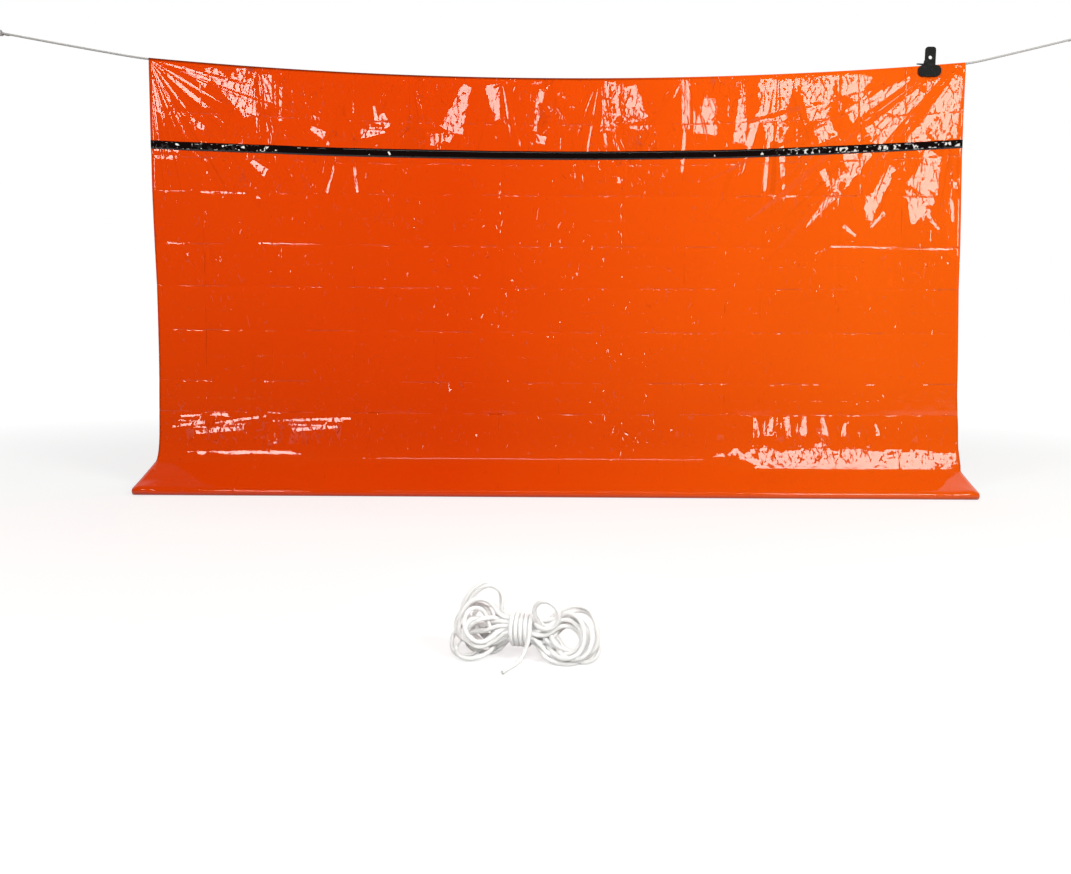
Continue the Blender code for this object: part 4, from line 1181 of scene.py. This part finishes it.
def strokes(nodes, scale, steepness, stretch, turn, width, covered):
    """Slopes of the thin crinkles between such facets, broken along their length."""
    place = cells(nodes, scale, stretch, turn)
    edge = nodes.add("TexVoronoi", place, feature="DISTANCE_TO_EDGE", voronoi_dimensions="2D").outputs
    colour = nodes.add("TexVoronoi", place, voronoi_dimensions="2D").outputs["Color"]
    broken = nodes.less(nodes.noise(place["Vector"], scale * 1.6, 1.0), covered)
    on = nodes.times(nodes.less(edge["Distance"], width * scale), broken)
    return nodes.scaled(lean(nodes, colour, steepness), on)


def streaks(nodes, layer):
    """Slopes of the straight streaks of one layer of the mesh's attributes, each with a pointed end."""
    folds = nodes.attribute(layer)
    across = nodes.vector("MULTIPLY", folds, (0.0, 1.0, 1.0))
    strength = nodes.vector("LENGTH", across)
    streak = nodes.add("TexVoronoi", {"W": nodes.split(folds)[0]}, voronoi_dimensions="1D").outputs
    chance = nodes.split(streak["Color"])
    past_end = nodes.minus(strength, nodes.times(chance[1], 0.75))
    near = nodes.less(streak["Distance"], nodes.span(past_end, 0.0, STREAK_POINT, 0.0, STREAK_HALF_WIDTH))
    on = nodes.times(near, nodes.less(chance[2], STREAKED_SHARE))
    way = nodes.minus(chance[0], 0.5)
    more = nodes.times(way, MORE_STREAK)
    size = nodes.math("MULTIPLY_ADD", nodes.math("SIGN", way), LEAST_STREAK, more)
    split = nodes.split(nodes.vector("NORMALIZE", across))
    return nodes.scaled(nodes.join(split[1], split[2]), nodes.times(size, on))


def corner_wedges(nodes):
    """Whether a point is in one of the narrow flat wedges that spread from the left corner."""
    off = nodes.vector("SUBTRACT", nodes.uv, (-HALF_LENGTH, 0.0, 0.0))
    split = nodes.split(off)
    turned = nodes.times(nodes.math("ARCTAN2", split[1], split[0]), WEDGE_DENSITY)
    wedge = nodes.add("TexVoronoi", {"W": turned}, voronoi_dimensions="1D").outputs
    reach = nodes.span(nodes.split(wedge["Color"])[1], 0.0, 1.0, *WEDGE_REACH)
    share = nodes.math("DIVIDE", nodes.vector("LENGTH", off), reach)
    return nodes.less(wedge["Distance"], nodes.span(share, 0.4, 1.0, WEDGE_HALF_WIDTH, 0.0))


def flat_place_slopes(nodes):
    """Whether a point is in a flat place, and the slope of the film there and between such places."""
    split = nodes.split(nodes.attribute("flat_spot"))
    noisy = nodes.noise(nodes.uv, 45.0, 3.0, 0.6)
    ragged = nodes.math("MULTIPLY_ADD", noisy, FLAT_RAGGED, -FLAT_RAGGED / 2)
    across = nodes.less(nodes.math("ADD", nodes.math("ABSOLUTE", split[0]), ragged), 1.0)
    along = nodes.math("GREATER_THAN", nodes.math("MULTIPLY_ADD", ragged, FLAT_RAGGED_ENDS, split[1]), 0.0)
    on = nodes.math("MAXIMUM", nodes.times(across, along), corner_wedges(nodes))
    between = nodes.join(nodes.times(split[2], nodes.minus(1.0, on)))
    return on, nodes.total(nodes.scaled(nodes.attribute("flat_lean"), on), between)


def crease_slopes(nodes):
    """Slopes of the two sides of each sharp package crease, broken along its length."""
    wobble = nodes.math("MULTIPLY_ADD", nodes.noise(nodes.uv, 7.0, 2.0), 2 * CREASE_WOBBLE, -CREASE_WOBBLE)
    split = nodes.split(nodes.attribute("creases"))
    shown = nodes.noise(nodes.uv, 8.0, 3.0, 0.65)
    sides = []
    for axis, least in ((0, 0.53), (2, 0.47)):
        steepness = nodes.span(shown, least, least + 0.13, 0.0, CREASE_STEEPNESS)
        place = nodes.math("ADD", split[axis], wobble)
        near = nodes.less(nodes.math("ABSOLUTE", place), CREASE_LINE_WIDTH)
        sides.append(nodes.times(nodes.times(nodes.math("SIGN", place), near), steepness))
    return nodes.join(*sides)


def film_normal(nodes):
    """The normal of the film with everything that is laid over it."""
    crumpled = nodes.attribute("crumpled", "Fac")
    flat, slope = flat_place_slopes(nodes)
    slopes = [slope, crease_slopes(nodes)]
    unflat = nodes.span(flat, 0.0, 1.0, 1.0, FACETS_IN_FLATS)
    for *shape, share in FACETS:
        covered = nodes.times(nodes.span(crumpled, 0.32, 1.0, 0.0, share), unflat)
        slopes.append(facets(nodes, *shape, covered))
    stroked = nodes.math("MULTIPLY_ADD", flat, STROKES_IN_FLATS, nodes.span(crumpled, 0.0, 1.0, 0.29, 0.50))
    slopes += [strokes(nodes, *shape, stroked) for shape in STROKES]
    unbroken = nodes.span(flat, 0.0, 1.0, 1.0, STREAKS_IN_FLATS)
    slopes += [nodes.scaled(streaks(nodes, layer), unbroken) for layer in FOLD_LAYERS]
    ripple = nodes.bump(nodes.noise(nodes.uv, 22.0, 2.0), 0.0008)
    return nodes.vector("NORMALIZE", nodes.total(ripple, nodes.total(*slopes)))


def film_material(name):
    """Orange film under a clear gloss, with painted light and shade in its colour: lighter to the right as if
    lit from there, painted shade darker towards the foot, and a dark painted shade along the ridge on the
    left."""
    nodes = Nodes(name, has_uv=True)
    normal = film_normal(nodes)
    place = nodes.split(nodes.uv)
    # Painted light: the colour runs from a shaded orange on the left to a lit, lighter orange on the right,
    # with random tone from the noise on top
    painted_light_to_right = nodes.span(place[0], -0.3, 1.05, 0.0, 1.0)
    tone = nodes.math("MULTIPLY_ADD", nodes.noise(nodes.uv, 1.7, 3.0), 0.2, painted_light_to_right)
    colour = nodes.mix(tone, rgb(0.81, 0.0535, 0.0008), rgb(0.92, 0.1180, 0.0035))
    below_ridge = nodes.span(place[1], 0.0, 0.0050)
    # Painted shade: a dark edge along the ridge where the film turns over the line, fading out towards the
    # right
    clear_of_ridge_shade = nodes.math("MAXIMUM", below_ridge, nodes.span(place[0], 0.0, 0.5, 0.0, 0.9))
    colour = nodes.mix(clear_of_ridge_shade, rgb(0.22, 0.020, 0.001), colour)
    # Painted shade: the film is darker towards the foot
    colour = nodes.mix(nodes.span(place[1], 0.75, 1.15, 0.0, 0.16), colour, rgb(0.45, 0.0300, 0.0005))
    return nodes.finish(Base_Color=colour, Roughness=0.5, Coat_Weight=nodes.times(below_ridge, 0.58),
                        Normal=normal, Coat_Normal=normal, Specular_IOR_Level=0.0, Coat_Roughness=0.02)


def crinkled_normal(nodes, steepness, covered):
    """The normal of a film with facets of two sizes alone."""
    small = facets(nodes, 55.0, steepness, 0.6, 0.3, covered)
    smaller = facets(nodes, 140.0, steepness, 0.8, -0.4, covered)
    smooth = nodes.add("NewGeometry").outputs["Normal"]
    return nodes.vector("NORMALIZE", nodes.total(smooth, small, smaller))


def silver_material():
    nodes = Nodes("silver_inside", has_uv=True)
    return nodes.finish(Base_Color=rgb(0.80, 0.80, 0.81), Metallic=0.55, Roughness=0.32,
                        Normal=crinkled_normal(nodes, 0.12, 0.7))


def band_material():
    """Glossy black, crinkled near both ends."""
    nodes = Nodes("black_band", has_uv=True)
    x = nodes.split(nodes.uv)[0]
    at_ends = nodes.math("MAXIMUM", nodes.span(x, -0.90, -0.80, 1.0, 0.0), nodes.span(x, 0.64, 0.74))
    normal = crinkled_normal(nodes, 0.15, nodes.span(at_ends, 0.0, 1.0, 0.04, 0.85))
    tone = nodes.noise(nodes.uv, 30.0, 3.0)
    colour = nodes.mix(tone, rgb(0.0040, 0.0016, 0.0014), rgb(0.0065, 0.0028, 0.0025))
    return nodes.finish(Base_Color=colour, Roughness=0.4, Coat_Weight=1.0, Normal=normal, Coat_Normal=normal,
                        Specular_IOR_Level=0.0, Coat_Roughness=0.03)


# The film's pieces

def film_columns(step):
    return np.array(spaced(-HALF_LENGTH, HALF_LENGTH, step, VERTICAL_CREASES, CREASE_HALF_WIDTH))


def thin_sheet(name, mesh, materials, thickness, outwards, slot, *nodes):
    """A sheet with its thickness, which goes from the mesh to the side that outwards gives."""
    sheet = place_mesh(name, mesh, *materials)
    shell = sheet.modifiers.new("film", "SOLIDIFY")
    shell.thickness = thickness
    shell.offset = outwards
    shell.material_offset = len(materials) - 1
    dress(sheet, slot, *nodes)
    return sheet


def make_front(silver):
    """The front sheet, down to the end of the roll at its toe, and the band on it."""
    columns = film_columns(FRONT_STEP)
    rows = section_rows(FRONT_STEP, CREASE_HALF_WIDTH, FRONT_FLOOR_STEP, True)
    count = sum(zone != "floor" for zone, _ in rows)
    places, normals, travelled = (values[:count] for values in base_sheet(rows, columns, -1))
    relief, crumples = film_relief(rows[:count], columns, travelled, -1)
    outer = places + normals * relief[:, :, None]
    attributes = film_attributes(columns, travelled, crumples, FINE_CONES)
    mesh = sheet_mesh("film_front", outer, travelled, columns, attributes)
    materials = (film_material("orange_film"), silver)
    front = thin_sheet("film_front", mesh, materials, FILM_THICKNESS, -1.0, "film_front", "front_wall")
    beside = BAND_WIDTH * 0.51
    on_band = [zone == "wall" and abs(value - BAND_MIDDLE) < beside for zone, value in rows[:count]]
    lifted = outer[on_band] + normals[on_band] * BAND_LIFT
    mesh = sheet_mesh("band_strip", lifted, travelled[on_band], columns, {})
    thin_sheet("band_strip", mesh, (band_material(),), BAND_THICKNESS, 1.0, "band", "black_band")


def make_back(silver):
    """The back sheet, which runs on under the tube as its floor to the roll at the front's toe."""
    columns = film_columns(BACK_STEP)
    rows = section_rows(BACK_STEP, CREASE_HALF_WIDTH * BACK_CREASE_WIDENING, BACK_FLOOR_STEP, False)
    floor_rows = [row for row in rows if row[0] == "floor"]
    wall, normals, travelled = base_sheet(rows, columns, 1)
    relief, crumples = film_relief(rows, columns, travelled, 1)
    near_floor = base_sheet(floor_rows, columns, -1)[0][:-1][::-1]
    toe_out, toe_height = row_place("toe", 1.0, columns)
    seam = np.stack([columns, -toe_out, toe_height], axis=1)
    places = np.concatenate([wall + normals * relief[:, :, None], near_floor, seam[None]])
    plain = np.full((len(near_floor) + 1, len(columns)), FLOOR_CRUMPLED)
    crumples = np.concatenate([crumples, plain])
    extra = travelled[-1] + np.cumsum(np.full(len(plain), TOE_HALF_WIDTH / len(floor_rows)))
    travelled = np.concatenate([travelled, extra])
    attributes = film_attributes(columns, travelled[::-1], crumples[::-1])
    mesh = sheet_mesh("film_back", places[::-1], travelled[::-1], columns, attributes)
    materials = (film_material("orange_film_back"), silver)
    back = thin_sheet(
        "film_back", mesh, materials, FILM_THICKNESS, -1.0, "film_back", "back_wall", "floor_sheet")


# Spring clip

def clip_plastic(name, tone):
    """Charcoal moulded plastic with a fine satin grain, a little lighter where it is rubbed."""
    nodes = Nodes(name)
    place = nodes.add("TexCoord").outputs["Object"]
    grain = nodes.noise(place, 2600.0, 2.0, 0.6)
    rubbed = nodes.span(nodes.noise(place, 120.0, 4.0, 0.6), 0.52, 0.72)
    normal = nodes.bump(grain, 0.00006)
    dark = rgb(0.0055 * tone, 0.0058 * tone, 0.0062 * tone)
    light = rgb(0.011 * tone, 0.0115 * tone, 0.012 * tone)
    roughness = nodes.span(rubbed, 0.0, 1.0, 0.46, 0.34)
    return nodes.finish(Base_Color=nodes.mix(rubbed, dark, light), Roughness=roughness, Normal=normal,
                        Specular_IOR_Level=0.05)


def spring_steel(name, tone, roughness):
    """Bright steel with the fine grain of drawn wire."""
    nodes = Nodes(name)
    drawn = nodes.noise(nodes.add("TexCoord").outputs["Object"], 1500.0, 3.0, 0.6)
    colour = nodes.mix(drawn, rgb(tone * 0.85, tone * 0.86, tone * 0.88), rgb(tone, tone, tone * 1.02))
    rough = nodes.span(drawn, 0.3, 0.7, roughness - 0.06, roughness + 0.08)
    return nodes.finish(Base_Color=colour, Metallic=1.0, Roughness=rough, Normal=nodes.bump(drawn, 0.00003))


def spring_path():
    """The front leg, the coil round the pin, and the rear leg, with the width of the coil."""
    radius = JAW_FACE - TOUCH_GAP - SPRING_WIRE / 2
    sweep = 2 * math.pi * SPRING_TURNS + math.pi / 2 + REAR_LEVER_SLOPE
    width = SPRING_PITCH * sweep / (2 * math.pi)
    coil = []
    for index in range(SPRING_POINTS + 1):
        angle = math.pi + sweep * index / SPRING_POINTS
        across = -width / 2 + width * index / SPRING_POINTS
        coil.append(Vector((across, radius * math.cos(angle), radius * math.sin(angle))))
    rear_way = Vector((0, math.cos(REAR_LEVER_SLOPE), math.sin(REAR_LEVER_SLOPE)))
    shares = (0.08, 0.25, 0.5, 0.75, 1.0)
    front_leg = [coil[0] + Vector((0, 0, SPRING_LEG_LENGTH * share)) for share in shares[::-1]]
    rear_leg = [coil[-1] + rear_way * SPRING_LEG_LENGTH * share for share in shares]
    return [PIN_CENTRE + point for point in front_leg + coil + rear_leg], width


def finish_node(node, material):
    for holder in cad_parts[node].material_slots:
        holder.material = material


def make_clip():
    for node, tone in CLIP_PARTS.items():
        finish_node(node, clip_plastic(node + "_plastic", tone))
    finish_node("clip_pin", spring_steel("pin_steel", 0.60, 0.28))
    path, width = spring_path()
    spring = round_tube("torsion_spring", path, SPRING_WIRE / 2, 8, spring_steel("spring_steel", 0.50, 0.32))
    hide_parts("clip_spring")
    edge = Vector((width / 2, 0, 0))
    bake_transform(spring, "root", "clip_rear_jaw", start=PIN_CENTRE - edge, end=PIN_CENTRE + edge)


# Room and light

def make_stage():
    """A pale floor, which the camera sees as white apart from the object's shadow."""
    shape = bmesh.new()
    bmesh.ops.create_grid(shape, x_segments=1, y_segments=1, size=14.0)
    nodes = Nodes("studio_floor")
    path = nodes.add("LightPath").outputs
    mirror = nodes.math("MAXIMUM", path["Is Glossy Ray"], path["Is Transmission Ray"])
    seen = nodes.math("MAXIMUM", path["Is Camera Ray"], mirror)
    place = nodes.add("TexCoord").outputs["Object"]
    glow = nodes.span(nodes.vector("LENGTH", place), 1.2, 5.0, 0.66, 0.90, smooth=True)
    mirrored = nodes.times(glow, nodes.span(nodes.split(place)[1], -7.0, -1.5, 0.1, 1.0))
    glow = nodes.mix(path["Is Camera Ray"], mirrored, glow, "FLOAT")
    colour = nodes.mix(seen, rgb(0.55, 0.55, 0.55), rgb(0.38, 0.38, 0.38))
    material = nodes.finish(Base_Color=colour, Roughness=0.9, Specular_IOR_Level=0.0,
                            Emission_Color=rgb(1, 1, 1), Emission_Strength=nodes.times(seen, glow))
    place_mesh("studio_floor", mesh_of(shape, "studio_floor"), material)


class WorldNodes(Nodes):
    """The same short way for the world's nodes."""

    def __init__(self, name):
        self.world = bpy.data.worlds.new(name)
        self.world.use_nodes = True
        self.tree = self.world.node_tree


def make_world():
    """White behind the shelter, and a dim room on the camera's side for the film to mirror."""
    nodes = WorldNodes("studio")
    path = nodes.add("LightPath").outputs
    way = nodes.split(nodes.add("TexCoord").outputs["Generated"])[1]
    room = nodes.span(way, 0.20, 0.60, 0.04, 1.0, smooth=True)
    mirror = nodes.math("MAXIMUM", path["Is Glossy Ray"], path["Is Transmission Ray"])
    ambient = nodes.span(way, 0.0, 0.6, 0.21, 0.70, smooth=True)
    strength = nodes.mix(mirror, ambient, room, "FLOAT")
    strength = nodes.mix(path["Is Camera Ray"], strength, 1.0, "FLOAT")
    background = nodes.tree.nodes["Background"]
    background.inputs["Color"].default_value = rgb(1.0, 1.0, 1.0)
    nodes.put(strength, background.inputs["Strength"])
    bpy.context.scene.world = nodes.world


def hang_lamp(data, place, aim):
    lamp = bpy.data.objects.new(data.name, data)
    bpy.context.scene.collection.objects.link(lamp)
    lamp.location = place
    lamp.rotation_euler = (Vector(aim) - Vector(place)).to_track_quat("-Z", "Y").to_euler()


def make_softbox(name, place, aim, size, power, colour=(1.0, 1.0, 1.0)):
    data = bpy.data.lights.new(name, "AREA")
    data.shape = "RECTANGLE"
    data.size, data.size_y = size
    data.energy = power
    data.color = colour
    hang_lamp(data, place, aim)


def make_hank_spot():
    """A narrow soft spot above the camera, which keeps the white cord from being grey between its strands."""
    data = bpy.data.lights.new("hank_spot", "SPOT")
    data.energy = 24
    data.spot_size = math.radians(20)
    data.spot_blend = 0.6
    data.shadow_soft_size = 0.12
    hang_lamp(data, (-0.06, -2.5, 0.75), (*HANK_PLACE, 0.04))


make_camera()
make_ridge_line()
make_hank()
silver_inside = silver_material()
make_front(silver_inside)
make_back(silver_inside)
make_clip()
make_stage()
make_world()
make_softbox("right_softbox", (2.25, -2.9, 2.3), (0.7, 0.0, 1.0), (1.25, 1.1), 86, (1.0, 0.975, 0.92))
make_softbox("left_softbox", (-2.15, -2.9, 2.3), (-0.8, 0.0, 0.95), (0.7, 0.7), 36, (1.0, 0.97, 0.91))
make_softbox("top_strip", (0.0, -1.9, 3.3), (0.0, 0.0, 0.7), (2.6, 0.25), 19)
make_hank_spot()
bpy.context.scene.view_settings.view_transform = "Standard"
